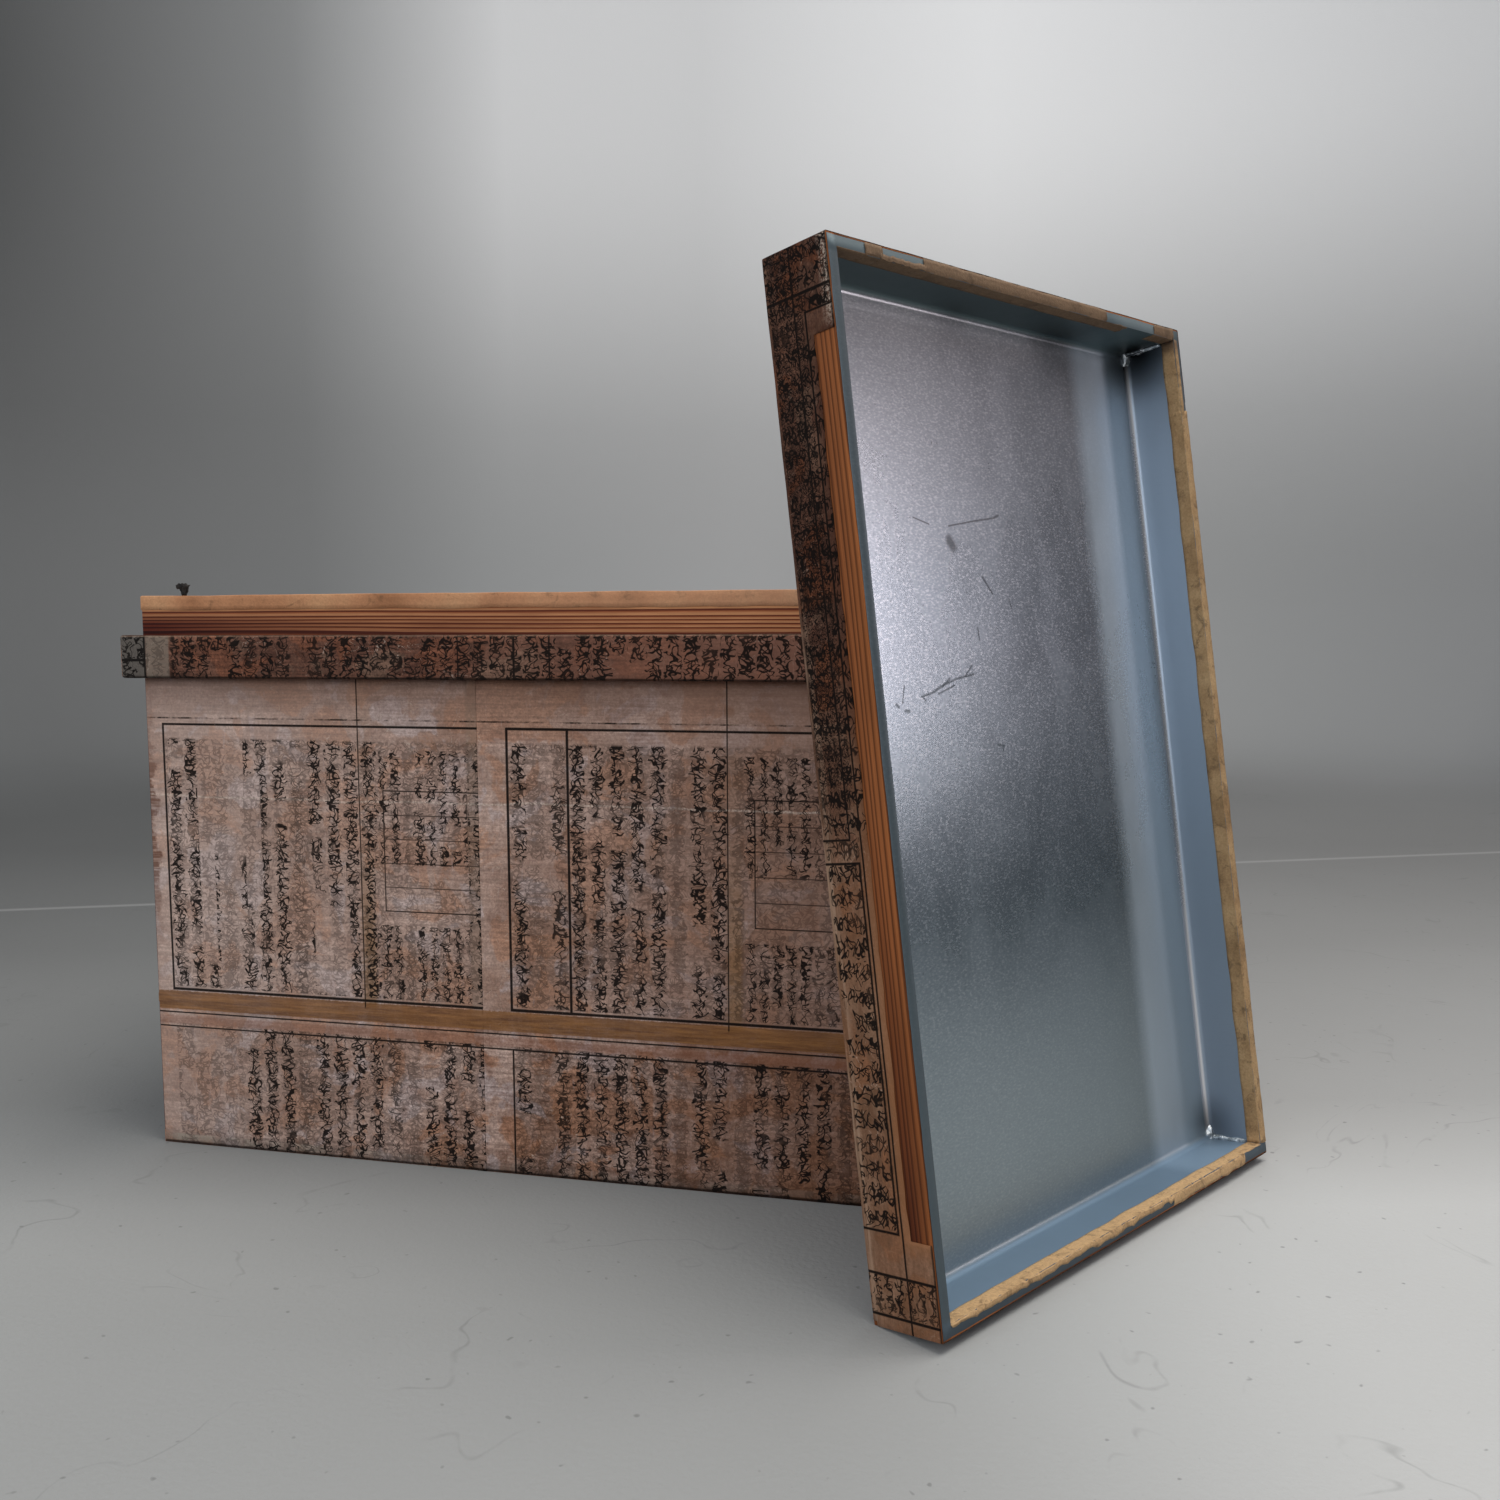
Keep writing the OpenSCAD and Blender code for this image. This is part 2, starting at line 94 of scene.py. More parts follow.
def both(*masks):
    """Where all the masks are."""
    kept = masks[0]
    for mask in masks[1:]:
        kept = add("Math MULTIPLY", kept, mask)
    return kept


def either(*masks):
    """Where any of the masks is."""
    kept = masks[0]
    for mask in masks[1:]:
        kept = add("Math MAXIMUM", kept, mask)
    return kept


def apart(one, other):
    """How far apart two values lie."""
    return add("Math ABSOLUTE", add("Math SUBTRACT", one, other))


def coats(colour, *layers):
    """Lays coats over a colour in order: each has its strength, its tone and, if it glazes, how."""
    for strength, tone, *how in layers:
        colour = add("Mix", strength, colour, tone, data_type="RGBA",
                     blend_type=how[0] if how else "MIX")
    return colour


def new_finish(name):
    """A material whose empty tree takes the nodes that follow."""
    global tree
    made = bpy.data.materials.new(name)
    made.use_nodes = True
    tree = made.node_tree
    tree.nodes.clear()
    return made


def surface(colour, roughness, height, depth, metallic=0, **more):
    """Ends a material: colour, roughness and a height in metres go to the shader."""
    bump = add("Bump", links={"Strength": 1, "Distance": depth, "Height": height})
    links = {"Base Color": colour, "Roughness": roughness, "Metallic": metallic, "Normal": bump}
    links.update({name.replace("_", " "): value for name, value in more.items()})
    shader = add("BsdfPrincipled", links=links)
    add("OutputMaterial", shader)


def face_way(shape, up):
    """Gives a shell's faces one sense, so that its middle looks up, for 1, or down, for -1."""
    bmesh.ops.recalc_face_normals(shape, faces=shape.faces)
    middle = min(shape.faces, key=lambda face: face.calc_center_median().xy.length)
    if middle.normal.z * up < 0:
        bmesh.ops.reverse_faces(shape, faces=shape.faces)


def new_object(name, shape, finish):
    """Makes a bmesh an object at the origin."""
    mesh = bpy.data.meshes.new(name)
    shape.to_mesh(mesh)
    shape.free()
    mesh.materials.append(finish)
    made = bpy.data.objects.new(name, mesh)
    scene.collection.objects.link(made)
    return made


plaster = new_finish("pale_plaster")
where = add("TexCoord").outputs["Object"]
x, y, z = add("SeparateXYZ", where).outputs
to_right = add("VectorMath DOT_PRODUCT", where, (0.9725, 0.2329, 0))
to_back = add("VectorMath DOT_PRODUCT", where, (-0.2329, 0.9725, 0))
painted_light_right = add("MapRange", to_right, 0.15, 0.5, interpolation_type="SMOOTHSTEP")
painted_falloff_to_back = add("ValToRGB", add("MapRange", to_back, -0.25, 1.35),
             stops=[(0, "#ffffff"), (0.14, "#dadada"), (0.5, "#b8b8b8"), (1, "#a4a4a4")])
clouds = add("MapRange", add("TexNoise", where, 1.1, 5), 0.3, 0.7, 0.94, 1.05)
cracks = apart(add("TexNoise", where, 4, 3, 0.55, 2, 1.1), 0.5)
worn = add("MapRange", add("TexNoise", where, 9, 4, 0.7), 0.48, 0.62, 0, 0.3)
scuffs = both(add("MapRange", cracks, 0.001, 0.006, 1, 0), worn)
grains = add("MapRange", add("TexNoise", where, 120, 1), 0.73, 0.79, 0, 0.5)
JOINT = 0.9687
over_joint = add("VectorMath DOT_PRODUCT", where, (-0.405, 0.9143, 0))
joint = add("MapRange", apart(over_joint, JOINT), 0.002, 0.012, 0.2, 0)
turn = add("Math ARCTAN2", y, x)
share = add("MapRange", turn, radians(-180), radians(180))
low_wash = [(-180, "#d6d7d8"), (-133, "#a4a8ad"), (-5, "#364148"), (45, "#323d45"), (66, "#8e8f90"),
            (78, "#979898"), (102, "#a5a5a5"), (115, "#989999"), (124, "#7d7e7e"), (137, "#747575"),
            (150, "#7c7f7f"), (180, "#d6d7d8")]
high_tones_and_painted_glow = [(-180, "#d6d7d8"), (-60, "#d6d7d8"), (-5, "#364148"), (45, "#323d45"), (66, "#dedede"),
             (90, "#e6e6e6"), (104, "#cdcdcd"), (114, "#d2d2d2"), (124, "#8b8c8c"), (137, "#585959"),
             (150, "#7c7f7f"), (180, "#d6d7d8")]
low, high = [add("ValToRGB", share, stops=[(0.5 + a / 360, tone) for a, tone in wash])
             for wash in (low_wash, high_tones_and_painted_glow)]
up_wall = add("MapRange", z, 0.5, 2.4, interpolation_type="SMOOTHSTEP")
out_there = add("VectorMath LENGTH", add("CombineXYZ", x, y, 0))
slate_floor = both(add("MapRange", turn, radians(-32), radians(-12), 0, 0.7),
                   add("MapRange", turn, radians(28), radians(42), 1, 0),
                   add("MapRange", out_there, 1.15, 1.8))
on_wall = add("MapRange", out_there, 2.2, 3.9, interpolation_type="SMOOTHSTEP")
# Painted light: the floor is lighter to the right and falls off to the back, and the wall glows high up.
tone = coats(
    "#909292",
    (painted_light_right, "#b1b2b2"),
    (1, painted_falloff_to_back, "MULTIPLY"),
    (1, clouds, "MULTIPLY"),
    (either(scuffs, grains), "#5b5c5c"),
    (joint, "#c9c9c9"),
    (slate_floor, "#4d565c"),
    (on_wall, coats(low, (up_wall, high))),
)
surface(tone, 0.85, add("TexNoise", where, 260, 3), 0.0004)

ROOM_R, ROOM_H, CURVE_R = 4.6, 3.4, 1.2
outline = bmesh.new()
bend = [radians(9 * step) for step in range(11)]
points = [(ROOM_R - CURVE_R * (1 - sin(a)), CURVE_R * (1 - cos(a))) for a in bend]
verts = [outline.verts.new((x, 0, z)) for x, z in [(0, 0), *points, (ROOM_R, ROOM_H)]]
for one, two in zip(verts, verts[1:]):
    outline.edges.new((one, two))
bmesh.ops.spin(
    outline, geom=outline.verts[:] + outline.edges[:], cent=(0, 0, 0), axis=(0, 0, 1),
    angle=radians(360), steps=72, use_merge=True,
)
bmesh.ops.remove_doubles(outline, verts=outline.verts, dist=1e-5)
face_way(outline, 1)
for face in outline.faces:
    face.smooth = True
room = new_object("room", outline, plaster)

scene.world = bpy.data.worlds.new("soft light")
scene.world.use_nodes = True
sky = scene.world.node_tree.nodes["Background"].inputs
sky["Color"].default_value = (0.95, 0.97, 1, 1)
sky["Strength"].default_value = 0.6
LAMPS = {
    "key": ((0.9, -0.1, 3.1), (0.1, 0, 0.3), (2.2, 1.8), 76, "#fffaf2"),
    "fill": ((-0.9, -3.1, 1.25), (0.1, -0.1, 0.3), (3, 1.9), 42, "#f6f9ff"),
    "side": ((3.22, 0.36, 1.05), (0.4, -0.2, 0.35), (0.35, 1), 11, "#fff0f2"),
    "wash": ((-0.3, 1.9, 3.2), (-0.55, 4.6, 2.6), (1.6, 0.8), 34, "#ffffff"),
}
for name, (place, target, size, watts, colour) in LAMPS.items():
    lamp = bpy.data.objects.new(name, bpy.data.lights.new(name, "AREA"))
    lamp.data.shape = "RECTANGLE"
    lamp.data.size, lamp.data.size_y = size
    lamp.data.energy = watts
    lamp.data.color = linear(colour)[:3]
    lamp.location = place
    lamp.rotation_euler = (Vector(target) - Vector(place)).to_track_quat("-Z", "Y").to_euler()
    lamp.visible_camera = False
    scene.collection.objects.link(lamp)


# The chest's wall boards: sawn cedar with its grain lying along each board, nailed edge to edge. Under
# the paper it only shows as the neck and at the rim, where dark summer wood makes fine red-brown lines.
def cedar(name, place, rings, tones, pith, shade=None):
    """Cedar whose grain runs along X of the given place, with rings that far apart round a far pith.

    Its tones are of spring wood, between, and summer wood. A shade has the height where it is full and
    the one where it is gone, its tone, and two places along the board with its least share at the second.
    """
    pale, mid, dark = tones
    made = new_finish(name)
    where = add("TexCoord").outputs["Object"]
    board = add("Mapping", where, place.translation, place.to_euler(), vector_type="TEXTURE")
    slow = add("VectorMath MULTIPLY", board, (1.6, 22, 22))
    drift = add("TexNoise", slow, 1, 2)
    section = add("VectorMath MULTIPLY_ADD", board, (0, 1, 1), (0, -pith[0], -pith[1]))
    radius = add("VectorMath LENGTH", section)
    wander = add("Math MULTIPLY_ADD", drift, rings * 3.5, radius)
    uneven = add("TexNoise", wander, 90, 1, noise_dimensions="1D")
    grown = add("Math MULTIPLY_ADD", uneven, rings * 2.2, wander)
    across = add("Math FRACT", add("Math DIVIDE", grown, rings))
    stripes = add("ValToRGB", across, stops=[
        (0, pale), (0.36, pale), (0.56, mid), (0.76, dark), (0.92, dark), (1, pale)
    ])
    thread = add("VectorMath MULTIPLY", board, (18, 1500, 1500))
    fibres = add("TexNoise", thread, 1, 3, 0.6)
    broad = add("VectorMath MULTIPLY", board, (5, 50, 50))
    patches = add("TexNoise", broad, 1, 4, 0.6)
    colour = coats(
        stripes,
        (1, add("MapRange", fibres, 0.3, 0.7, 0.78, 1.1), "MULTIPLY"),
        (add("MapRange", patches, 0.45, 0.75, 0, 0.6), dark),
    )
    if shade:
        full, gone, tone, start, end, least = shade
        x, y, _ = add("SeparateXYZ", board).outputs
        deep = both(add("MapRange", y, full, gone, 0.95, 0), add("MapRange", x, start, end, 1, least))
        colour = coats(colour, (deep, tone, "MULTIPLY"))
    rough = add("MapRange", fibres, 0.3, 0.7, 0.72, 0.56)
    relief = add("Math MULTIPLY_ADD", across, 0.5, fibres)
    surface(colour, rough, relief, 0.00025, Specular_IOR_Level=0.18)
    return made


def dress(finish, *names):
    """Gives CAD nodes a finish."""
    for name in names:
        nodes[name].data.materials.clear()
        nodes[name].data.materials.append(finish)


ALONG_X = Matrix.Rotation(radians(90), 4, "X")
ALONG_Y = Matrix.Rotation(radians(90), 4, "Z") @ ALONG_X
CHEST_WOOD = ("#cf9163", "#aa653e", "#632a17")
long_cedar = cedar("sawn_cedar_long", ALONG_X, 0.0028, CHEST_WOOD, (-0.35, 0.06),
                   (0.419, 0.431, "#6c2412", -0.3, 0.1, 0))
end_cedar = cedar("sawn_cedar_ends", ALONG_Y, 0.0031, CHEST_WOOD, (-0.3, -0.05))
dress(long_cedar, "front_lower_board", "front_upper_board", "back_lower_board", "back_upper_board")
dress(end_cedar, "left_lower_board", "left_upper_board", "right_lower_board", "right_upper_board")

# The bottom boards and the collar battens are the same cedar, left as it was sawn. The bottom shows its
# broad face, and the battens hide under their paper.
bottom_cedar = cedar("sawn_cedar_bottom", Matrix(), 0.005, CHEST_WOOD, (-0.9, 0.12))
dress(bottom_cedar, "bottom_front_board", "bottom_middle_board", "bottom_back_board")
dress(long_cedar, "collar_front_batten", "collar_back_batten")
dress(end_cedar, "collar_left_batten", "collar_right_batten")

# The nails are cut iron, gone dark and a little rusty in the damp wood. They are driven through one board
# into the edge of the next, and their heads sit flush.
iron = new_finish("rusted_iron")
bloom = add("TexNoise", add("TexCoord").outputs["Object"], 900, 4)
rust = add("ValToRGB", bloom, stops=[(0.35, "#2c2723"), (0.55, "#4a3a30"), (0.75, "#6b4028")])
surface(rust, add("MapRange", bloom, 0.3, 0.7, 0.55, 0.85), bloom, 0.0003, 0.6)
dress(iron, "wall_nails", "bottom_nails", "collar_nails", "lid_wall_nails", "lid_top_nails")


# The liners are hot-dipped zinc on thin steel: bluish grey and softly mirroring, with a fine frosty
# spangle of short flecks, rubs and fingermarks that dull it, and a few dark scratches.
def zinc_sheet(name, place, pale, deep, scratches=(), dark_spots=(), oxide_and_painted_light=()):
    """Galvanised sheet whose flecks lie along Y of the given place, and all places are in millimetres.

    Scratches run from point to point in its XY plane, with a width. Oxide, and tints that paint light,
    shade and reflections, cover what lies past a value along an axis: its start and end there, its tone
    and strength, and how much duller and less metallic it is. Dark spots lie round a place, with their
    reach and depth.
    """
    made = new_finish(name)
    where = add("TexCoord").outputs["Object"]
    sheet = add("Mapping", where, place.translation, place.to_euler(), vector_type="TEXTURE")
    clouds = add("TexNoise", sheet, 5, 4, 0.55)
    flat = add("VectorMath MULTIPLY_ADD", sheet, (800, 370, 90), (0.4, 0.6, 0.4))
    flecks = add("TexNoise", flat, 1, 1, 0.6)
    frost = add("MapRange", flecks, 0.53, 0.7, 0, 0.36)
    pits = add("TexNoise", sheet, 330, 2, 0.6)
    colour = coats(
        pale,
        (clouds, deep),
        (frost, "#e4eaf0"),
        (add("MapRange", flecks, 0.3, 0.44, 0.24, 0), "#5b646c"),
        (add("MapRange", pits, 0.68, 0.76, 0, 0.6), "#4b5257"),
    )
    for x, y, x_end, y_end, width in scratches:
        run = Vector((x_end - x, y_end - y, 0)) / 1000
        middle = Vector((x + x_end, y + y_end, 0)) / 2000
        lie = place.to_quaternion() @ Vector((1, 0, 0)).rotation_difference(run)
        local = add("Mapping", where, place @ middle, lie.to_euler(), vector_type="TEXTURE")
        along, off, _ = add("SeparateXYZ", local).outputs
        along = add("Math ABSOLUTE", along)
        past = add("Math SUBTRACT", along, run.length / 2 - width / 2000)
        off = add("VectorMath LENGTH", add("CombineXYZ", either(past, 0), off, 0))
        mark = add("MapRange", off, width / 3000, width / 1100, 0.7, 0)
        colour = coats(colour, (mark, "#2c3136"))
    rubs = add("VectorMath MULTIPLY", sheet, (9, 16, 9))
    smears = add("TexNoise", rubs, 1, 5, 0.65, 2, 0.8)
    dull = add("MapRange", smears, 0.35, 0.7, 0.24, 0.29)
    rough = add("Math MULTIPLY_ADD", frost, 0.1, dull)
    metal = 1
    at = add("SeparateXYZ", sheet)
    # Oxide, and tints that paint reflections, a highlight and shade.
    for axis, start, end, tone, strength, matt, bare in oxide_and_painted_light:
        past = add("MapRange", at.outputs[axis], start / 1000, end / 1000)
        colour = coats(colour, (both(past, strength), tone))
        rough = add("Math MULTIPLY_ADD", past, matt, rough)
        metal = add("Math MULTIPLY_ADD", past, -bare, metal)
    for x, y, z, reach, depth in dark_spots:
        middle = place @ (Vector((x, y, z)) / 1000)
        off = add("VectorMath DISTANCE", where, tuple(middle))
        ragged = add("Math MULTIPLY_ADD", clouds, reach / 2000, off)
        dark = add(
            "MapRange", ragged, reach / 4000, reach / 1000, depth, 0, interpolation_type="SMOOTHSTEP"
        )
        colour = coats(colour, (dark, "#14181b"))
    relief = add("Math MULTIPLY_ADD", flecks, 0.6, pits)
    surface(colour, rough, relief, 0.00002, metal)
    return made


chest_zinc = zinc_sheet("zinc_coated_steel_chest", ALONG_Y, "#b3bdc4", "#99a4ab",
                        oxide_and_painted_light=[("X", -900, -899, "#a8b2b8", 0.3, 0.14, 0.5)])
dress(chest_zinc, "liner_walls", "liner_floor")

# The solder is tin and lead, wiped along the seams with a hot iron: brighter than the sheet, and lumpy,
# with grey scum on it.
solder = new_finish("wiped_solder")
lumps = add("TexNoise", add("TexCoord").outputs["Object"], 240, 4, 0.6)
tin = add("ValToRGB", lumps, stops=[(0.35, "#868e94"), (0.55, "#e2e7ea")])
surface(tin, add("MapRange", lumps, 0.3, 0.7, 0.42, 0.22), lumps, 0.0012, 1)
dress(solder, "liner_solder")


# The chest's paper: leaves from old printed books, pasted edge over edge on the boards in two rows and
# rubbed with oil or persimmon juice until brown. The boards' grain and joints show through as ridges.
# The ink is made of strokes that spell nothing, set in columns where the leaves have theirs.
def box_shape(half_x, half_y, low, high):
    """A box round the middle, between two heights."""
    shape = bmesh.new()
    bmesh.ops.create_cube(shape, size=1)
    bmesh.ops.scale(shape, vec=(2 * half_x, 2 * half_y, high - low), verts=shape.verts)
    bmesh.ops.translate(shape, vec=(0, 0, (low + high) / 2), verts=shape.verts)
    return shape


def ends(shape, *ways):
    """A box's faces that look up, for 1, or down, for -1."""
    return [face for face in shape.faces if any(face.normal.z * way > 0.5 for way in ways)]


def round_off(shape, edges, offset, segments):
    """Rounds edges off."""
    bmesh.ops.bevel(
        shape, geom=edges, offset=offset, segments=segments, profile=0.5, affect="EDGES", material=-1
    )


def slice_up(shape, axis, stations):
    """Cuts a mesh by planes across an axis."""
    across = Vector([float(i == axis) for i in range(3)])
    for station in stations:
        parts = shape.verts[:] + shape.edges[:] + shape.faces[:]
        bmesh.ops.bisect_plane(shape, geom=parts, plane_co=across * station, plane_no=across)


def even(half, count):
    """The places that part a length into equal shares, from its middle."""
    return [(i / count - 0.5) * 2 * half for i in range(1, count)]


def crumple(shape, reach, depth, seed=0):
    """Lifts the vertices off their bed by up to depth, in soft folds of about the given reach."""
    shape.normal_update()
    shift = Vector((seed, seed * 0.37, 0))
    for vert in shape.verts:
        vert.co += vert.normal * depth * (0.5 + 0.5 * noise.noise(vert.co / reach + shift))


def lay_flat(shape, half_x, half_y, top=None):
    """Unrolls a box's four walls from its front left corner, with heights as they are, and its top."""
    flat = shape.loops.layers.uv.new("flat")
    shape.normal_update()
    start, sides = 0, []
    for normal, long in (((0, -1), half_x), ((1, 0), half_y), ((0, 1), half_x), ((-1, 0), half_y)):
        out = Vector((*normal, 0))
        sides.append((out, half_x + half_y - long, start + long, Vector((-out.y, out.x, 0))))
        start += 2 * long
    for face in shape.faces:
        middle = face.calc_center_median()
        out, reach, start, along = max(
            sides, key=lambda s: s[0].dot(face.normal) + 2 * (s[0].dot(middle) - s[1])
        )
        for loop in face.loops:
            place = loop.vert.co
            if top and face.normal.z > 0.8:
                loop[flat].uv = (place.x + top, place.y + half_y)
            else:
                deep = max(0, reach - out.dot(place))
                loop[flat].uv = (start + along.dot(place), place.z + deep)


def piece(name, shape, finish, body, slot, *replaced, thick=0.0003, place=None, crease=32):
    """Makes a mesh a piece on a body, with sharp edges where it creases, in place of CAD nodes.

    A skin gets its thickness on the inner side of its faces.
    """
    if place:
        bmesh.ops.transform(shape, matrix=place, verts=shape.verts)
    shape.normal_update()
    for face in shape.faces:
        face.smooth = True
    for edge in shape.edges:
        edge.smooth = edge.calc_face_angle(0) < radians(crease)
    made = new_object(name, shape, finish)
    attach(made, body)
    if replaced:
        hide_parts(*replaced)
    if thick:
        solid = made.modifiers.new("thickness", "SOLIDIFY")
        solid.thickness = thick
        solid.offset = -1


def in_flat(seed):
    """The unrolled place in millimetres, the same moved away by a seed for noises, and its u and v."""
    where = add("UVMap", uv_map="flat")
    flat = add("VectorMath MULTIPLY", where, (1000, 1000, 0))
    away = add("VectorMath ADD", flat, (seed * 731, seed * 417, 0))
    u, v, _ = add("SeparateXYZ", flat).outputs
    return flat, away, u, v


def aged_paper(away, tones, boards):
    """Oiled old paper: clouds of two tones, stains, pale scuffs, fibres, board grain and scratches.

    Gives its colour, pulp and board grain, and how much ink its pulp has kept.
    """
    pale, dark, stain, scuff = tones
    broad = add("TexNoise", away, 0.011, 4, 0.6)
    drops = add("TexNoise", away, 0.024, 5, 0.55, 2, 0.6)
    soak = add("TexNoise", away, 0.05, 5, 0.7, 2, 0.3)
    mottle = add("TexNoise", away, 0.21, 5, 0.8)
    pulp = add("TexNoise", away, 0.55, 4, 0.7)
    laid = add("VectorMath MULTIPLY", away, boards)
    grain = add("TexNoise", laid, 1, 4, 0.7)
    threads = add("VectorMath MULTIPLY", away, (boards[1] * 0.8, boards[0] * 3, 1))
    fibres = add("TexNoise", threads, 1, 3, 0.6)
    colour = coats(
        pale,
        (add("MapRange", broad, 0.36, 0.64), dark),
        (add("MapRange", drops, 0.53, 0.565, 0, 0.6), stain),
        (add("MapRange", drops, 0.39, 0.43, 0.55, 0), scuff),
        (add("MapRange", soak, 0.5, 0.62, 0, 0.45), dark, "MULTIPLY"),
        (1, add("MapRange", mottle, 0.34, 0.66, 0.62, 1.34), "MULTIPLY"),
        (1, add("MapRange", pulp, 0.3, 0.7, 0.56, 1.36), "MULTIPLY"),
        (1, add("MapRange", grain, 0.34, 0.66, 0.6, 1.24), "MULTIPLY"),
        (add("MapRange", fibres, 0.62, 0.72, 0, 0.3), scuff),
    )
    for size, seed in ((0.02, 5), (0.034, 9)):
        other = add("VectorMath ADD", away, (seed * 90, seed * 40, 0))
        line = apart(add("TexNoise", other, size, 1, 0.5, 2, 1.4), 0.5)
        scratch = both(
            add("MapRange", line, 0.0008, 0.0045, 1, 0),
            add("MapRange", pulp, 0.48, 0.56), add("MapRange", broad, 0.47, 0.54, 0, 0.75),
        )
        colour = coats(colour, (scratch, "#d3c3b3"))
    return colour, pulp, grain, add("MapRange", pulp, 0.3, 0.4, 0.7, 1)


def oiled_surface(colour, ink, pulp, grain, depth, gloss):
    """Ends a paper: its pulp makes it duller or shinier, and its ink is matt."""
    rough = add("MapRange", pulp, 0.3, 0.7, 0.7, 0.5)
    rough = add("MapRange", ink, 0, 1, rough, 0.95)
    relief = add("Math MULTIPLY_ADD", grain, 0.5, pulp)
    surface(colour, rough, relief, depth, Specular_IOR_Level=gloss)


def brush_columns(flat, away, pitch, reach, stroke, seed, faint=0.45):
    """Columns of brush strokes that spell nothing: threads that wander, knots and short dashes.

    Columns stand a pitch apart and reach that far to each side, in millimetres.
    """
    cloud = add("TexNoise", away, 0.16, 0, 0.5).outputs["Color"]
    middle = add("VectorMath SUBTRACT", cloud, (0.5, 0.5, 0.5))
    shaken = add("VectorMath MULTIPLY_ADD", middle, (7, 7, 0), flat)
    x, y, _ = add("SeparateXYZ", shaken).outputs
    column = add("Math FLOOR", add("Math DIVIDE", x, pitch))
    centre = add("Math MULTIPLY_ADD", column, pitch, pitch / 2)
    across = add("Math SUBTRACT", x, centre)
    own = add("Math MULTIPLY_ADD", column, 17.13, seed)
    press = add("TexNoise", away, 0.25, 0)
    heavy = add("MapRange", press, 0.3, 0.7, stroke * 0.34, stroke * 0.8)
    marks = []
    for pace, swing, lift in ((0.14, 2.7, 0.26), (0.23, 3.1, 0.42)):
        along = add("Math MULTIPLY_ADD", y, pace, own)
        line = add("TexNoise", along, 1, 0, noise_dimensions="1D")
        off = add("Math SUBTRACT", line, 0.5)
        gap = add("Math MULTIPLY_ADD", off, -reach * swing, across)
        near = add("Math ABSOLUTE", gap)
        clear = add("Math SUBTRACT", near, heavy)
        later = add("Math ADD", own, pace * 70)
        later = add("Math MULTIPLY_ADD", y, 0.13, later)
        lifted = add("TexNoise", later, 1, 0, noise_dimensions="1D")
        marks.append(both(add("MapRange", clear, -0.05, 0.2, 1, 0),
                          add("MapRange", lifted, lift - 0.01, lift + 0.01)))
    knots = add("TexNoise", away, 0.15, 0, 0.5, 2, 0.9)
    curl = apart(knots, 0.5)
    marks.append(add("MapRange", curl, stroke * 0.035, stroke * 0.06, 1, 0))
    row = add("Math MULTIPLY_ADD", y, 1 / 4.6, own)
    cell = add("Math FLOOR", row)
    level = add("Math SUBTRACT", add("Math FRACT", row), 0.5)
    which = add("CombineXYZ", own, cell, 0)
    lot = add("TexWhiteNoise", which, noise_dimensions="2D").outputs["Color"]
    lean, there, _ = add("SeparateXYZ", lot).outputs
    tilt = add("MapRange", lean, 0, 1, -0.16, 0.1)
    leaning = add("Math MULTIPLY_ADD", across, tilt, level)
    dash = add("Math ABSOLUTE", leaning)
    marks.append(both(add("MapRange", dash, stroke * 0.09, stroke * 0.15, 1, 0),
                      add("Math GREATER_THAN", there, 0.4)))
    side = add("Math SUBTRACT", add("Math ABSOLUTE", across), reach)
    ragged = add("MapRange", knots, 0.3, 0.7, -1.6, 1.2)
    within = add("Math ADD", side, ragged)
    slow = add("Math MULTIPLY_ADD", y, 0.02, own)
    run = add("TexNoise", slow, 1, 1, noise_dimensions="1D")
    worn = add("TexNoise", away, 0.035, 3, 0.6)
    chance = add("TexWhiteNoise", own, noise_dimensions="1D")
    return both(
        either(*marks), add("MapRange", within, -0.3, 0.3, 1, 0),
        add("MapRange", run, 0.3, 0.315), add("MapRange", worn, 0.32, 0.46, faint, 1),
        add("MapRange", chance, 0, 0.25, faint, 1),
    )


def ruled_box(x, y, left, right, low, high, width):
    """The ruled border of a leaf: a line of that width along a rectangle."""
    past = []
    for way, a, b in ((x, left, right), (y, low, high)):
        past.append(add("Math SUBTRACT", apart(way, (a + b) / 2), (b - a) / 2))
    gap = add("Math ABSOLUTE", either(*past))
    return add("MapRange", gap, width / 2, width / 2 + 0.5, 1, 0)


def band(way, low, high, soft):
    """1 where a coordinate lies between two values, with soft ends."""
    rise = add("MapRange", way, low - soft, low + soft)
    return both(rise, add("MapRange", way, high - soft, high + soft, 1, 0))


wall_paper = new_finish("oiled_book_leaves")
flat, away, u, v = in_flat(1)
BOARD_GRAIN = (0.014, 0.34, 1)
colour, pulp, grain, rubs = aged_paper(away, ("#d2b7aa", "#9d7a67", "#b67c55", "#cfc3c4"), BOARD_GRAIN)
# Each sheet starts 9 mm before its leaf, and sheets of the two rows differ a little in tone.
LEAF_W, MARGIN, HALF_ROUND = 290, 9, 1002.6
leaf = add("Math ADD", u, MARGIN)
leaf_no = add("Math FLOOR", add("Math DIVIDE", leaf, LEAF_W))
leaf_at = add("Math MULTIPLY_ADD", leaf_no, -LEAF_W, leaf)
in_leaf = add("Math SUBTRACT", leaf_at, MARGIN)
upper = add("MapRange", v, 121, 123)
lower = add("MapRange", v, 109.5, 110.5, 1, 0)
sheet_no = add("Math MULTIPLY_ADD", upper, 31.7, leaf_no)
sheet_tone = add("TexWhiteNoise", sheet_no, noise_dimensions="1D")
along_walls = add("Math MODULO", u, HALF_ROUND)
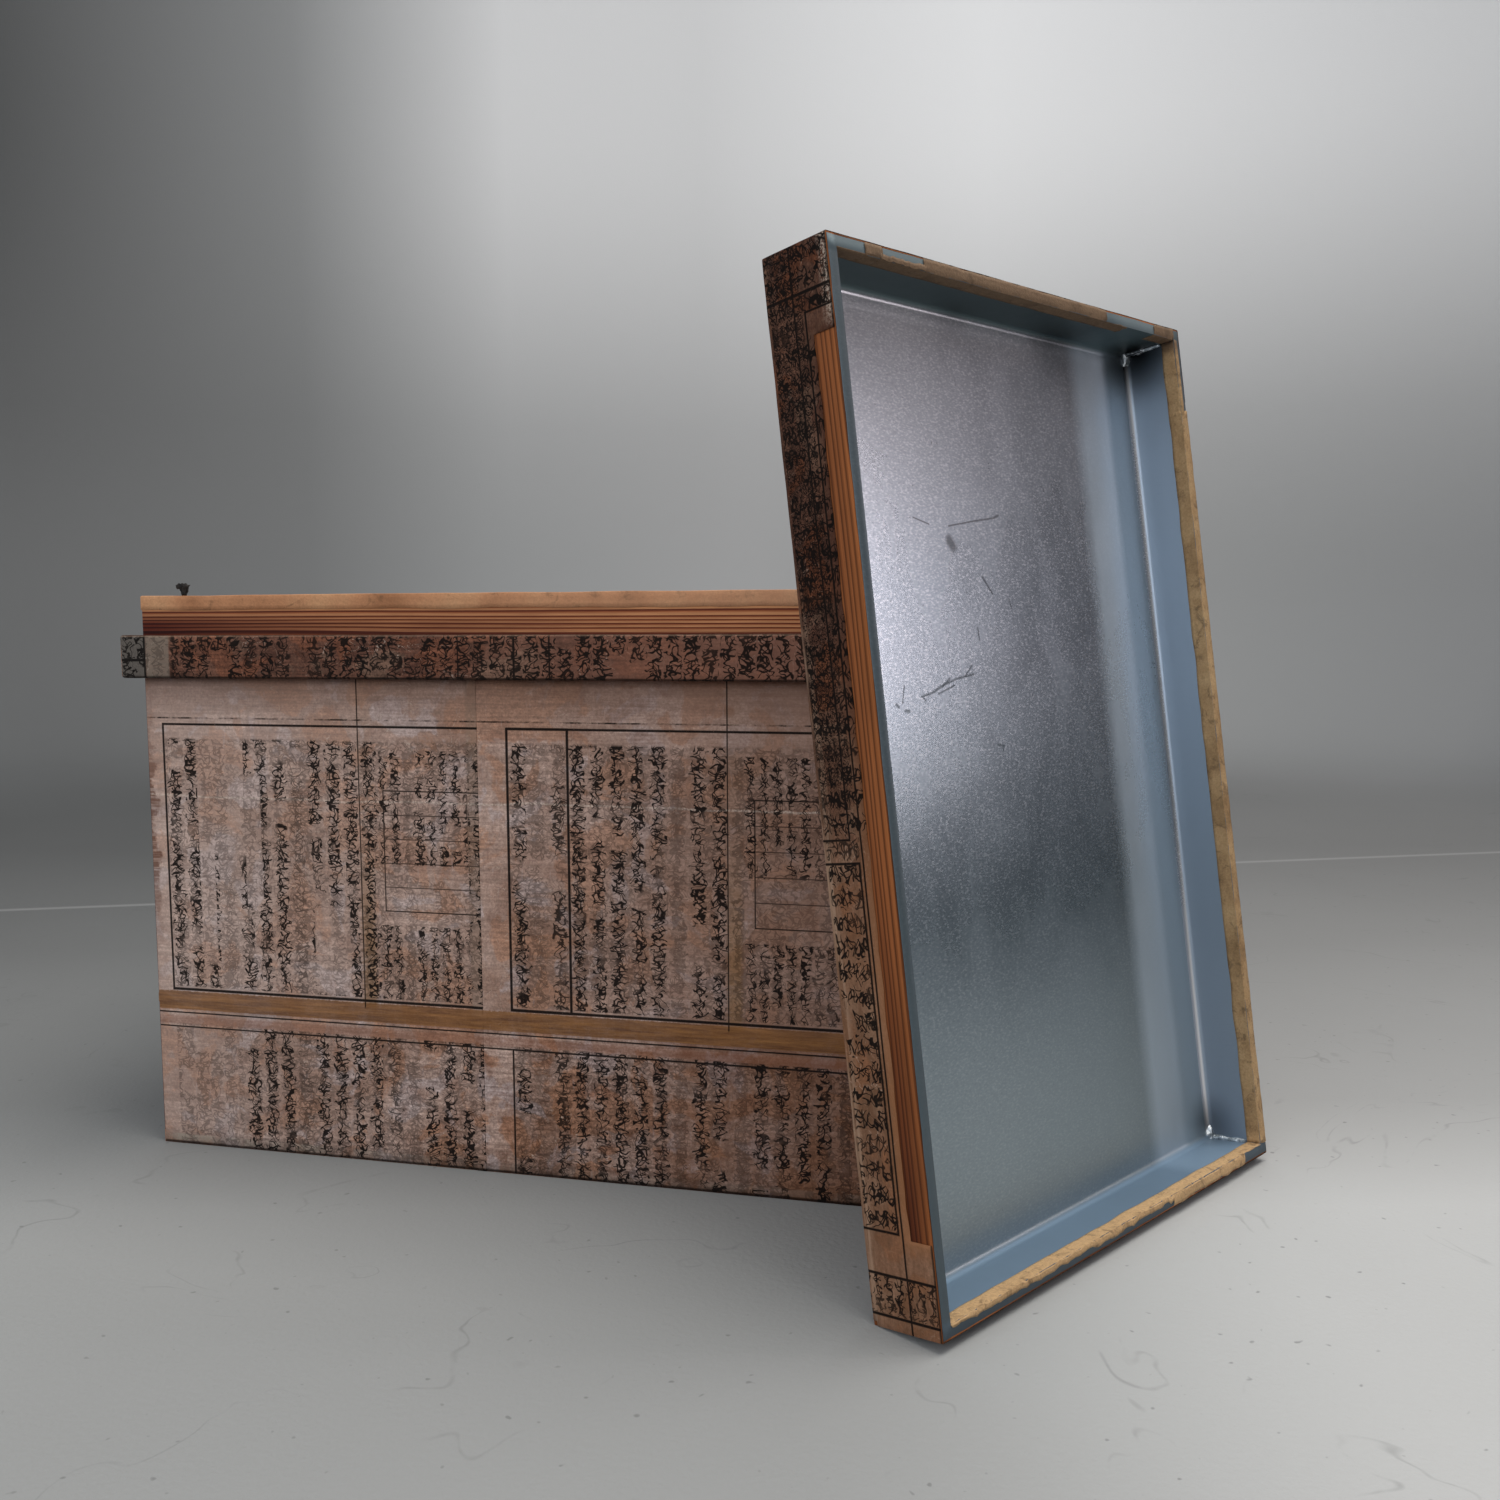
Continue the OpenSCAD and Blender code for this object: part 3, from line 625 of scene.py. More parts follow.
# A brown stripe where the leaf was folded, the gutter, and the bare ochre margin between the rows.
fold = apart(in_leaf, add("MapRange", grain, 0.3, 0.7, 186, 190))
fold_stripe = both(upper, add("MapRange", fold, 3.5, 7, 0.6, 0),
                   add("MapRange", v, 260, 180, 0.15, 1))
gutter = both(upper, band(in_leaf, 272, 290, 1), 0.45)
rough_v = add("Math MULTIPLY_ADD", pulp, 2.4, v)
lying = add("VectorMath MULTIPLY", away, (0.02, 0.25, 1))
streaks = add("MapRange", add("TexNoise", lying, 1, 4, 0.7), 0.34, 0.66)
# The left edge is worn through to the wood. A pale crease crosses the upper row: a crack in the paper
# with a painted highlight on its ridge over a board joint. The foot is rubbed pale, with a painted glint
# that is strongest at the left.
edge_reach = add("MapRange", add("TexNoise", away, 0.05, 4, 0.7), 0.4, 0.7, -1, 9)
inward = add("Math SUBTRACT", along_walls, edge_reach)
worn_edge = both(add("MapRange", inward, 1, 4.5, 0.8, 0),
                 add("MapRange", grain, 0.42, 0.5, 0.2, 1), band(v, 190, 330, 40))
crease_at = add("Math MULTIPLY_ADD", add("TexNoise", away, 0.012, 3, 0.6), 10, v)
crease = both(upper, band(crease_at, 287.6, 289, 0.5), add("MapRange", pulp, 0.4, 0.6, 0.1, 0.75))
patchy = add("MapRange", add("TexNoise", away, 0.07, 3, 0.6), 0.42, 0.56, 0.05, 0.35)
foot = both(band(v, 2.5, 8, 0.7), patchy, add("MapRange", u, 60, 260, 1.6, 0.4))
# The ink: the leaf's columns, little ones round and in the ruled table, and a faint print of another
# leaf that shows through. Some places are left bare.
strokes = brush_columns(flat, away, 15.3, 5, 1.05, 3)
little = brush_columns(flat, away, 9.9, 3.4, 0.8, 7, 0.6)
ghost_at = add("VectorMath ADD", flat, (5.5, 61, 0))
ghost_away = add("VectorMath ADD", away, (77, 31, 0))
ghost = brush_columns(ghost_at, ghost_away, 12.4, 5.6, 1.2, 19, 0.5)
above_foot = add("MapRange", v, 129.5, 130.5)
main_rows = both(add("MapRange", v, 328, 330, 1, 0), above_foot)
low_rows = both(lower, add("MapRange", v, 99, 100, 1, 0))
beside_line = add("MapRange", in_leaf, 15, 16)
in_rows = both(either(main_rows, low_rows), beside_line)
in_table = both(band(in_leaf, 195, 272, 0.5), upper)
left_bare = [both(band(u, a, b, 0.5), band(v, low, high, 2))
             for a, b, low, high in ((43, 84, 238, 345), (43, 56, 150, 345), (84, 98, 200, 300),
                                     (142, 172, 132, 200), (0, 70, 0, 100))]
inked = add("Math SUBTRACT", 1, either(in_table, *left_bare))
few_rows = add("MapRange", band(v, 188, 235, 0.5), 0, 1, 1, 0.1)
table_marks = both(little, in_table, add("MapRange", v, 322, 323, 1, 0), above_foot, few_rows)
# The ruled borders of both rows, each box by its left, right, low, high and width in millimetres.
broken = add("MapRange", add("TexNoise", away, 0.06, 5, 0.75), 0.42, 0.6)
row = add("Math PINGPONG", add("Math SUBTRACT", v, 199), 9.25)
lines = [
    both(gate, ruled_box(way, v, *box)) for gate, way, box in (
        (upper, in_leaf, (14.5, 400, 127.5, 340, 1.3)), (upper, in_leaf, (183, 500, -100, 500, 0.5)),
        (both(upper, broken), in_leaf, (-200, 500, 100, 345, 0.7)),
        (upper, in_leaf, (203, 283, 199, 291.5, 0.5)), (upper, u, (304.5, 352, 127.5, 340, 1.6)),
        (lower, in_leaf, (-300, 600, -50, 97, 0.7)), (lower, in_leaf, (-300, 600, -50, 108.5, 0.7)),
        (both(lower, add("MapRange", u, 100, 101)), in_leaf, (15, 600, -50, 97, 1)),
    )
]
lines.append(both(upper, add("MapRange", row, 0.25, 0.6, 0.85, 0),
                  band(in_leaf, 203, 283, 0.3), band(v, 199, 291.5, 0.3)))
lines.append(both(band(v, 126.8, 128.8, 0.3), add("MapRange", in_leaf, 14, 14.4)))
ink = either(both(strokes, in_rows, inked), table_marks, *lines)
ink = either(both(ink, rubs, 0.97), both(ghost, in_rows, 0.42))
colour = coats(
    colour,
    (add("MapRange", sheet_tone, 0, 1, 0, 0.35), "#8a5c40"),
    # Along the front and right end, and again along the back and left end, lighter at the start and darker
    # and redder further on: partly the oiling, partly painted light and shade.
    (add("MapRange", along_walls, 200, 560, 0, 0.8), "#724c37"),
    (add("MapRange", along_walls, 60, 300, 0.35, 0), "#b7a49b"),
    (both(upper, 0.1), "#e3cabd"),
    (fold_stripe, "#8a6640"),
    (gutter, "#857060"),
    (both(band(rough_v, 112.2, 127.2, 0.4), 0.85), coats("#5c381b", (streaks, "#936538"))),
    (both(band(v, 99, 106, 1), 0.4), "#7e4a30"),
    # Darker towards the collar: painted shade under its overhang.
    (add("MapRange", v, 345, 368, 0, 0.55), "#66493b"),
    (worn_edge, "#5f3a2a"),
    (crease, "#d9c6b6"),
    (foot, "#c4b8a8"),
    (ink, "#0e0a09"),
    # A dark line along the paper's foot: a painted contact shadow where the chest stands on the floor.
    (add("MapRange", v, 1.6, 2.8, 0.85, 0), "#1a1310"),
)
oiled_surface(colour, ink, pulp, grain, 0.0004, 0.14)

BOARD_X, BOARD_Y = 0.309, 0.192
WALL_X, WALL_Y = BOARD_X + 0.0003, BOARD_Y + 0.0003
WALL_LOW, WALL_TOP = 0.0003, 0.3767
LAP, STEP = 0.0003, 0.0001
sheets = box_shape(WALL_X, WALL_Y, WALL_LOW, WALL_TOP)
bmesh.ops.delete(sheets, geom=ends(sheets, 1, -1), context="FACES_ONLY")
corners = [edge for edge in sheets.edges if abs(edge.verts[0].co.z - edge.verts[1].co.z) > 0.1]
round_off(sheets, corners, 0.0016, 3)
laps_x = [(-0.0353, -0.0283), (0.2457, 0.2527), (0.0283, 0.0353), (-0.2527, -0.2457)]
laps_y = [(-0.089, -0.082), (0.082, 0.089)]
laps_z = [(0.116, 0.123)]
for axis, laps, far in ((0, laps_x, WALL_X), (1, laps_y, WALL_Y), (2, laps_z, 0.19)):
    stations = [e for a, b in laps for e in (a - STEP, a, b, b + STEP)]
    slice_up(sheets, axis, stations + [at + (axis == 2) * far for at in even(far, 28)])
bmesh.ops.remove_doubles(sheets, verts=sheets.verts, dist=1e-6)
crumple(sheets, 0.035, 0.0003)
for vert in sheets.verts:
    x, y, z = vert.co
    front, back = y < -WALL_Y + 0.001, y > WALL_Y - 0.001
    left, right = x < -WALL_X + 0.001, x > WALL_X - 0.001
    laps = [(x, lap) for lap in (laps_x[:2] if front else laps_x[2:] if back else ())]
    laps += [(y, lap) for lap in (laps_y[:1] if left else laps_y[1:] if right else ())]
    if any(a - STEP / 2 < at < b + STEP / 2 for at, (a, b) in [*laps, (z, laps_z[0])]):
        vert.co += Vector(((right - left) * LAP, (back - front) * LAP, 0))
lay_flat(sheets, BOARD_X, BOARD_Y)
piece("wall_paper_sheets", sheets, wall_paper, "chest", "wall_paper",
      "front_paper", "back_paper", "left_paper", "right_paper")


# The collar's paper: smaller leaves in heavier ink, browner than the walls', drawn over the battens and
# tucked in above and below. A grey scrap with a black border mends its front left corner.
collar_paper = new_finish("oiled_collar_leaves")
flat, away, u, v = in_flat(2)
colour, pulp, grain, rubs = aged_paper(away, ("#785343", "#5e3b2e", "#7d4b34", "#7c6454"), BOARD_GRAIN)
strokes = brush_columns(flat, away, 13.4, 5.5, 1.15, 11, 0.9)
lines = [ruled_box(u, v, left, right, 0, 900, width) for left, right, width in (
    (-300, 328.5, 1.3), (-300, 284.5, 0.6), (356, 2100, 0.9), (1010, 1330, 1)
)]
seam = add("MapRange", band(u, 148, 158, 1), 0, 1, 1, 0.15)
marks = both(either(both(strokes, seam), *lines), add("MapRange", u, 42, 46))
pale_part = band(u, 23, 43, 0.6)
scrap = either(add("MapRange", u, 22, 23, 1, 0), add("MapRange", u, 2058, 2059))
border = both(scrap, either(ruled_box(u, v, -60, 90, 390.4, 600, 1.6),
                            ruled_box(u, v, -60, 21.8, 0, 900, 1.7)))
faint_marks = either(both(strokes, pale_part, 0.4), both(strokes, scrap))
ink = both(either(marks, border, faint_marks), rubs, 0.96)
colour = coats(
    colour,
    (add("MapRange", u, 250, 560, 0, 0.6), "#8c6251"),
    (add("MapRange", pale_part, 0, 1, 0, 0.7), "#7f7367"),
    (scrap, coats("#3c3835", (pulp, "#746c64"))),
    (ink, "#120e0c"),
    # A dark line along the collar's lower edge: painted shadow under it.
    (add("MapRange", v, 377.4, 378.6, 0.9, 0), "#1a130f"),
    (both(add("MapRange", v, 408, 408.8, 0, 0.25), rubs), "#a58c78"),
    (add("MapRange", v, 409.2, 409.6, 0, 0.8), "#3b2318"),
)
oiled_surface(colour, ink, pulp, grain, 0.0005, 0.14)

COLLAR_X, COLLAR_Y, COLLAR_LOW, COLLAR_TOP = 0.321, 0.204, 0.3767, 0.4093
TUCK = 0.01165
wrap = box_shape(COLLAR_X, COLLAR_Y, COLLAR_LOW, COLLAR_TOP)
tucked = ends(wrap, 1, -1)
bmesh.ops.inset_individual(wrap, faces=tucked, thickness=TUCK)
bmesh.ops.delete(wrap, geom=tucked, context="FACES_ONLY")
outer = [
    edge for edge in wrap.edges
    if all(abs(vert.co.x) > COLLAR_X - 0.001 and abs(vert.co.y) > COLLAR_Y - 0.001 for vert in edge.verts)
]
round_off(wrap, outer, 0.0018, 3)
slice_up(wrap, 0, even(COLLAR_X, 56) + [-0.2979, -0.2981])
slice_up(wrap, 1, even(COLLAR_Y, 36))
slice_up(wrap, 2, [0.384, 0.3905, 0.397, 0.403])
crumple(wrap, 0.016, 0.0006, 4)
lay_flat(wrap, COLLAR_X, COLLAR_Y)
piece("collar_paper_wrap", wrap, collar_paper, "chest", "collar_paper", "collar_paper")


# The rim's tape: brown kraft paper folded over the wall tops, its lower edge cut by hand and a little
# wavy, stained and darkened where the lid rubs it.
def draw_out(shape, edges, shift):
    """Draws edges out into new faces."""
    made = bmesh.ops.extrude_edge_only(shape, edges=edges)["geom"]
    made = [part for part in made if isinstance(part, bmesh.types.BMVert)]
    bmesh.ops.translate(shape, vec=shift, verts=made)


kraft = new_finish("kraft_tape")
where = add("TexCoord").outputs["Object"]
clouds = add("TexNoise", where, 16, 4, 0.55)
pulp = add("TexNoise", where, 620, 4, 0.7)
grime = add("TexNoise", where, 70, 5, 0.65, 2, 0.5)
tan = coats(
    add("ValToRGB", clouds, stops=[(0.3, "#976644"), (0.5, "#b5805a"), (0.7, "#c5966d")]),
    (1, add("MapRange", pulp, 0.3, 0.7, 0.84, 1.12), "MULTIPLY"),
    (add("MapRange", grime, 0.58, 0.7, 0, 0.7), "#5a4028"),
    (add("MapRange", add("SeparateXYZ", where), -0.1, 0.3, 0, 0.35), "#cfa283"),
)
surface(tan, 0.74, pulp, 0.0003, Specular_IOR_Level=0.3)

TAPE_X, TAPE_Y, RIM_Z = 0.3094, 0.1924, 0.4401
RIM_W, FOLD = 0.0101, 0.011
tape = box_shape(TAPE_X, TAPE_Y, RIM_Z - FOLD, RIM_Z)
bmesh.ops.delete(tape, geom=ends(tape, -1), context="FACES_ONLY")
over = ends(tape, 1)
bmesh.ops.inset_individual(tape, faces=over, thickness=RIM_W)
inner = list(over[0].edges)
bmesh.ops.delete(tape, geom=over, context="FACES_ONLY")
draw_out(tape, inner, (0, 0, -FOLD))
rims = [
    edge for edge in tape.edges
    if all(vert.co.z > RIM_Z - 0.001 for vert in edge.verts)
    and len(edge.link_faces) == 2 and edge.calc_face_angle(0) > 0.5
]
round_off(tape, rims, 0.0006, 2)
slice_up(tape, 0, even(TAPE_X, 90))
slice_up(tape, 1, even(TAPE_Y, 56))
slice_up(tape, 2, [RIM_Z - 0.0075, RIM_Z - 0.004])
bmesh.ops.recalc_face_normals(tape, faces=tape.faces)
crumple(tape, 0.02, 0.0004, 7)
for vert in tape.verts:
    wave = noise.noise(vert.co * Vector((30, 30, 9))) * 0.0009
    wave += noise.noise(vert.co * Vector((130, 130, 9))) * 0.0004
    vert.co.z += wave * max(0, (RIM_Z - vert.co.z) / FOLD) ** 2
    vert.co.z += 0.0004 * noise.noise(vert.co * 22) * (vert.co.z > RIM_Z - 0.002)
piece("rim_tape", tape, kraft, "chest", "kraft_tape", "neck_tape")

# A torn bit of paper, black with old ink and soot, curls up from the rim near the front left corner. Its
# foot is still pasted on the tape.
sooty = new_finish("sooty_paper")
clouds = add("TexNoise", add("TexCoord").outputs["Object"], 500, 4)
black = add("ValToRGB", clouds, stops=[(0.35, "#0e0c0b"), (0.7, "#2e2722")])
surface(black, 0.8, clouds, 0.0004)
FOOT, TALL, FOOT_W, WIDER, BACK = Vector((-0.2725, -0.1885, 0.4395)), 0.0105, 0.0035, 0.0095, 0.003
flake = bmesh.new()
bmesh.ops.create_grid(flake, x_segments=8, y_segments=10, size=0.5)
for vert in flake.verts:
    across, up = vert.co.x, vert.co.y + 0.5
    torn = 0.0016 * noise.noise(Vector((across * 6, up * 6, 3)))
    fold = 0.0024 * noise.noise(Vector((across * 3, up * 3, 8)))
    width = FOOT_W + WIDER * up**1.3
    rise = TALL * up + torn * 1.2 - 0.003 * abs(across) * up
    vert.co = FOOT + Vector((across * width + torn, fold - BACK * up, rise))
piece("torn_paper_bit", flake, sooty, "chest", "kraft_tape")

# The lid's boards: the same cedar, but oiled orange-brown where the paper leaves a strip of it bare
# beside the rim. All patterns on the lid lie in its own frame, which leans as it stands on end.
LEAN, TURN = radians(8.18), radians(31.93)
LID_X, LID_Y, LID_H = 0.3207, 0.2037, 0.052
lid_corner = min(
    (vert.co.copy() for name in ("lid_front_top_board", "lid_back_top_board")
     for vert in nodes[name].data.vertices),
    key=lambda place: place.z * 50 + place.y,
)
LID = (
    Matrix.Translation(lid_corner)
    @ Matrix.Rotation(-TURN, 4, "Z")
    @ Matrix.Rotation(-radians(90) - LEAN, 4, "Y")
    @ Matrix.Translation((LID_X, LID_Y, -LID_H))
)
LID_WOOD = ("#aa6738", "#94562b", "#6f3e1d")
lid_side_cedar = cedar("oiled_cedar_sides", LID @ ALONG_X, 0.0036, LID_WOOD, (-0.5, 0.12),
                       (0.012, -0.006, "#70432c", -0.3, -0.02, 0.4))
lid_end_cedar = cedar("oiled_cedar_ends", LID @ ALONG_Y, 0.0042, LID_WOOD, (-0.4, 0.1))
lid_top_cedar = cedar("oiled_cedar_top", LID, 0.006, LID_WOOD, (-0.8, 0.1))
dress(lid_side_cedar, "lid_front_wall", "lid_back_wall")
dress(lid_end_cedar, "lid_left_end", "lid_right_end")
dress(lid_top_cedar, "lid_front_top_board", "lid_back_top_board")

# The lid's paper: leaves pasted over its top and down its sides, with their columns crosswise on the
# long walls, stopping at a torn edge that leaves the wood bare, and wrapped down to the rim at both ends.
lid_paper = new_finish("oiled_lid_leaves")
flat, away, u, v = in_flat(3)
colour, pulp, grain, rubs = aged_paper(
    away, ("#977763", "#6b4c3e", "#8f5935", "#a68f7b"), (0.012, 0.34, 1)
)
LID_HALF_ROUND = 1048.8
on_side = add("MapRange", u, 2097, 2099, 1, 0)
on_top = add("Math SUBTRACT", 1, on_side)
in_long = add("Math MODULO", u, LID_HALF_ROUND)
pale_edge = both(on_side, add("MapRange", v, 43, 48.5, 0, 0.6),
                 add("MapRange", in_long, 380, 470, 1, 0),
                 add("MapRange", grain, 0.44, 0.58, 0.05, 1))
soaked = both(on_side, add("MapRange", v, 17, 27, 0.75, 0), band(in_long, 50, 590, 6))
oily = coats("#8a5630", (add("MapRange", in_long, 200, 420), "#583625"))
corner_rub = both(on_side, add("MapRange", v, 2, 9, 1, 0), add("MapRange", in_long, 585, 600),
                  add("MapRange", pulp, 0.45, 0.55, 0, 0.6))
strokes = brush_columns(flat, away, 14.6, 5.6, 1.05, 23, 0.8)
turned = add("CombineXYZ", v, u, 0)
turned_away = add("VectorMath ADD", turned, (911, 377, 0))
small = brush_columns(turned, turned_away, 8.2, 3, 0.8, 41, 0.7)
tangle = apart(add("TexNoise", away, 0.38, 0, 0.5, 2, 1.6), 0.5)
cluster = add("MapRange", add("TexNoise", away, 0.045, 2), 0.32, 0.4, 0.35, 1)
tangle = both(add("MapRange", tangle, 0.06, 0.085, 1, 0), cluster,
                add("MapRange", in_long, 290, 330))
side_marks = either(
    both(small, band(in_long, 9, 32, 0.5)),
    both(either(strokes, tangle), band(v, 24, 50, 0.6), add("MapRange", in_long, 59, 60)),
    both(strokes, add("MapRange", v, 26, 27, 1, 0), band(in_long, 290, 585, 2)),
    both(strokes, add("MapRange", in_long, 600, 601)),
)
top_marks = both(strokes, either(band(v, 34, 246, 1), add("MapRange", v, 296, 297)))
side_lines = [ruled_box(in_long, v, *box) for box in (
    (290, 800, 30.5, 90, 0.9), (-50, 600, -20, 22, 0.9), (58.5, 276, 25, 90, 1.1),
    (32.5, 2000, -50, 90, 1.3), (8, 2000, -50, 90, 1.3), (612, 2000, -50, 90, 1.5),
)]
in_top_leaf = add("Math MODULO", u, LEAF_W)
top_lines = [ruled_box(in_top_leaf, v, *box) for box in (
    (14, 400, 30, 250, 1.2), (150, 600, -100, 600, 0.5), (14, 400, 292, 700, 1.2)
)]
ink = either(both(on_side, either(side_marks, *side_lines)),
             both(on_top, either(top_marks, *top_lines)))
# The ink mask also takes a dark line along the paper's edge at the rim: painted shade, not print.
ink = either(both(ink, rubs, 0.97), add("MapRange", v, 1.3, 2.3, 0.8, 0))
colour = coats(
    colour,
    (both(on_side, 0.5), "#a07660", "MULTIPLY"),
    (pale_edge, "#a8937f"),
    (soaked, oily),
    (both(on_side, add("MapRange", in_long, 220, 380, 0.35, 0)), "#9c7456"),
    (both(on_side, band(in_long, 330, 2000, 70), 0.5), "#97786a", "MULTIPLY"),
    (corner_rub, "#d3c4b4"),
    (ink, "#0f0b09"),
)
oiled_surface(colour, ink, pulp, grain, 0.0004, 0.12)

PAPER, RIM_SKIN = 0.0003, 0.0007
BARE_X, BARE_H = LID_X - 0.056, 0.0167
WORN = 0.003
wrap = box_shape(LID_X + PAPER, LID_Y + PAPER, RIM_SKIN, LID_H + PAPER)
bmesh.ops.delete(wrap, geom=ends(wrap, -1), context="FACES_ONLY")
round_off(wrap, [edge for edge in wrap.edges if len(edge.link_faces) == 2], 0.001, 2)
slice_up(wrap, 0, even(LID_X, 60) + [-LID_X + WORN, -BARE_X, BARE_X])
slice_up(wrap, 1, even(LID_Y, 38))
slice_up(wrap, 2, [0.007, 0.012, BARE_H, 0.022, 0.028, 0.034, 0.04, 0.046, LID_H - WORN])
gone = []
for face in wrap.faces:
    x, y, z = face.calc_center_median()
    bare = abs(y) > LID_Y and abs(x) < BARE_X and z < BARE_H
    worn = x < WORN - LID_X and z > LID_H - WORN
    if bare or worn:
        gone.append(face)
bmesh.ops.delete(wrap, geom=gone, context="FACES")
crumple(wrap, 0.018, 0.0005, 2)
for vert in wrap.verts:
    if vert.is_boundary and vert.co.z < LID_H - 0.01:
        rag = noise.noise(vert.co * 70) * 0.0012 + noise.noise(vert.co * 300) * 0.0005
        vert.co.z = max(RIM_SKIN, vert.co.z + rag * (vert.co.z > 0.004))
lay_flat(wrap, LID_X, LID_Y, top=4)
piece("lid_paper_wrap", wrap, lid_paper, "lid", "lid_paper", "lid_top_paper", "lid_front_paper",
      "lid_back_paper", "lid_left_paper", "lid_right_paper", place=LID)

# The lid's pan: one zinc-coated sheet folded up on four sides, its rim turned out over the boards and cut
# square at the corners. The long folds are round, and the floor is not quite flat.
SCRATCHES = [
    (164.1, -59.9, 168.8, -30.4, 0.9), (168.8, -30.4, 172, -6.9, 1.1), (172, -6.9, 174.4, -0.7, 1.3),
    (168.3, -97, 164.3, -80.1, 0.8), (156.7, -62.3, 148.3, -55.1, 6), (130.8, -28.1, 118.7, -17.7, 1.3),
    (96.2, -39.3, 86.8, -38.7, 1.1), (116.1, 0.5, 108.5, 2.7, 0.7), (51.7, -105.4, 53.3, -95.9, 1.3),
    (53.3, -95.9, 58, -83.6, 1.4), (58, -83.6, 62, -66.9, 1.1), (62, -66.9, 64.2, -49, 1.2),
    (56.8, -84.8, 62.3, -75.4, 1.2), (63.1, -59.1, 70.2, -50.1, 1), (52.4, -89.8, 57.6, -70.9, 1),
    (51.8, -107.4, 48.4, -102.9, 1.2), (59.4, -123.6, 47.6, -127.2, 0.9), (43.1, -125.9, 42.6, -120.1, 1.6),
    (47.9, -134, 45.2, -130.5, 1.6), (15.5, -30.6, 14, -22.8, 1), (13.8, -25.1, 10.3, -24.6, 0.9),
]
# Dark spots round the pan's two right corners and along the top edge of its floor.
DARK_SPOTS = [
    (-302, 194, 40, 44, 0.55), (312, 195, 34, 62, 0.97), (312, -30, 43, 60, 0.3), (310, 90, 43, 70, 0.45),
]
# The first two tints make the floor paler grey and duller towards its bottom end and warm grey towards its
# top end, and the last dulls the flange. The rest is painted light: the floor darkens to the right and goes
# teal low in the middle, painted reflections of the studio's dark side; a pale blue band by the right wall
# is its painted reflection; a near-white line on the right fold is a painted highlight; the blue of the
# right and bottom walls is painted reflection, and the dark teal of the top wall, which faces down, is
# painted shade.
OXIDE_AND_PAINTED_LIGHT = [
    ("X", -90, -230, "#aaadb0", 0.45, 0.16, 0), ("X", 120, 290, "#a9a19d", 0.35, 0.04, 0),
    ("Y", -90, 150, "#79848d", 0.4, 0, 0), ("X", 80, -100, "#7c979b", 0.36, 0, 0),
    ("Y", 106, 124, "#a9b9c6", 0.7, 0.02, 0.36), ("Y", 190.4, 191, "#f6f5f8", 0.9, -0.05, -0.36),
    ("Y", 193.8, 194.6, "#7b8d9f", 0.85, 0.1, 0.25), ("X", -309, -311, "#7189a0", 0.9, 0.1, 0.4),
    ("X", 309, 311, "#55686b", 0.9, 0.1, 0.1), ("Z", 1.5, 0.8, "#4f5a60", 0.85, 0.22, 0.25),
]
lid_zinc = zinc_sheet("zinc_coated_steel_lid", LID, "#a4aeb8", "#929ea8", SCRATCHES, DARK_SPOTS, OXIDE_AND_PAINTED_LIGHT)
PAN_X, PAN_Y, PAN_Z = 0.3123, 0.1953, 0.043
FLANGE_Z, FLANGE_W = 0.0003, 0.0074
pan = bmesh.new()
bmesh.ops.create_grid(pan, x_segments=44, y_segments=28, size=1)
bmesh.ops.scale(pan, vec=(PAN_X, PAN_Y, 1), verts=pan.verts)
bmesh.ops.translate(pan, vec=(0, 0, PAN_Z), verts=pan.verts)
fold_edges = [edge for edge in pan.edges if edge.is_boundary]
draw_out(pan, fold_edges, (0, 0, FLANGE_Z - PAN_Z))
for out in (Vector((1, 0, 0)), Vector((-1, 0, 0)), Vector((0, 1, 0)), Vector((0, -1, 0))):
    reach = abs(out.x) * PAN_X + abs(out.y) * PAN_Y - 1e-5
    rim = [
        edge for edge in pan.edges
        if all(vert.co.z < 0.001 and vert.co.dot(out) > reach for vert in edge.verts)
        and edge.is_boundary
    ]
    draw_out(pan, rim, out * FLANGE_W)
round_off(pan, fold_edges, 0.0052, 6)
slice_up(pan, 2, [0.01, 0.02, 0.03])
face_way(pan, -1)
for vert in pan.verts:
    x, y, z = vert.co
    free = max(0, 1 - (x / PAN_X) ** 4) * max(0, 1 - (y / PAN_Y) ** 4)
    vert.co.z -= 0.0004 * (0.5 + noise.noise(vert.co * 7)) * free * (z > 0.04)
    if z < 0.001 and (abs(x) > PAN_X + 0.001 or abs(y) > PAN_Y + 0.001):
        vert.co.xy += Vector((noise.noise(vert.co * 60), noise.noise(vert.co * 55))) * 0.0005
        vert.co.z += 0.0003 * noise.noise(vert.co * 90)
piece("lid_pan", pan, lid_zinc, "lid", "zinc_coated_sheet", "lid_liner", thick=0.0004, place=LID)

# The solder that closes the pan's four corners: a bead run up each from the same tin and lead, left in a
# lump at its foot.
BEAD, LUMP_R = 0.031, 0.0062
beads = bmesh.new()
for side_x in (-1, 1):
    for side_y in (-1, 1):
        foot = Vector((side_x * (PAN_X - 0.0006), side_y * (PAN_Y - 0.0006), PAN_Z - 0.0005))
        run = bmesh.ops.create_cone(
            beads, cap_ends=True, segments=10, radius1=0.0017, radius2=0.0022, depth=BEAD
        )["verts"]
        bmesh.ops.translate(beads, vec=foot - Vector((0, 0, BEAD / 2)), verts=run)
        lump = bmesh.ops.create_icosphere(beads, subdivisions=4, radius=LUMP_R)["verts"]
        bmesh.ops.scale(beads, vec=(1.35, 0.9, 0.8), verts=lump)
        bmesh.ops.translate(beads, vec=foot, verts=lump)
slice_up(beads, 2, [PAN_Z - BEAD + 0.0015 * i for i in range(19)])
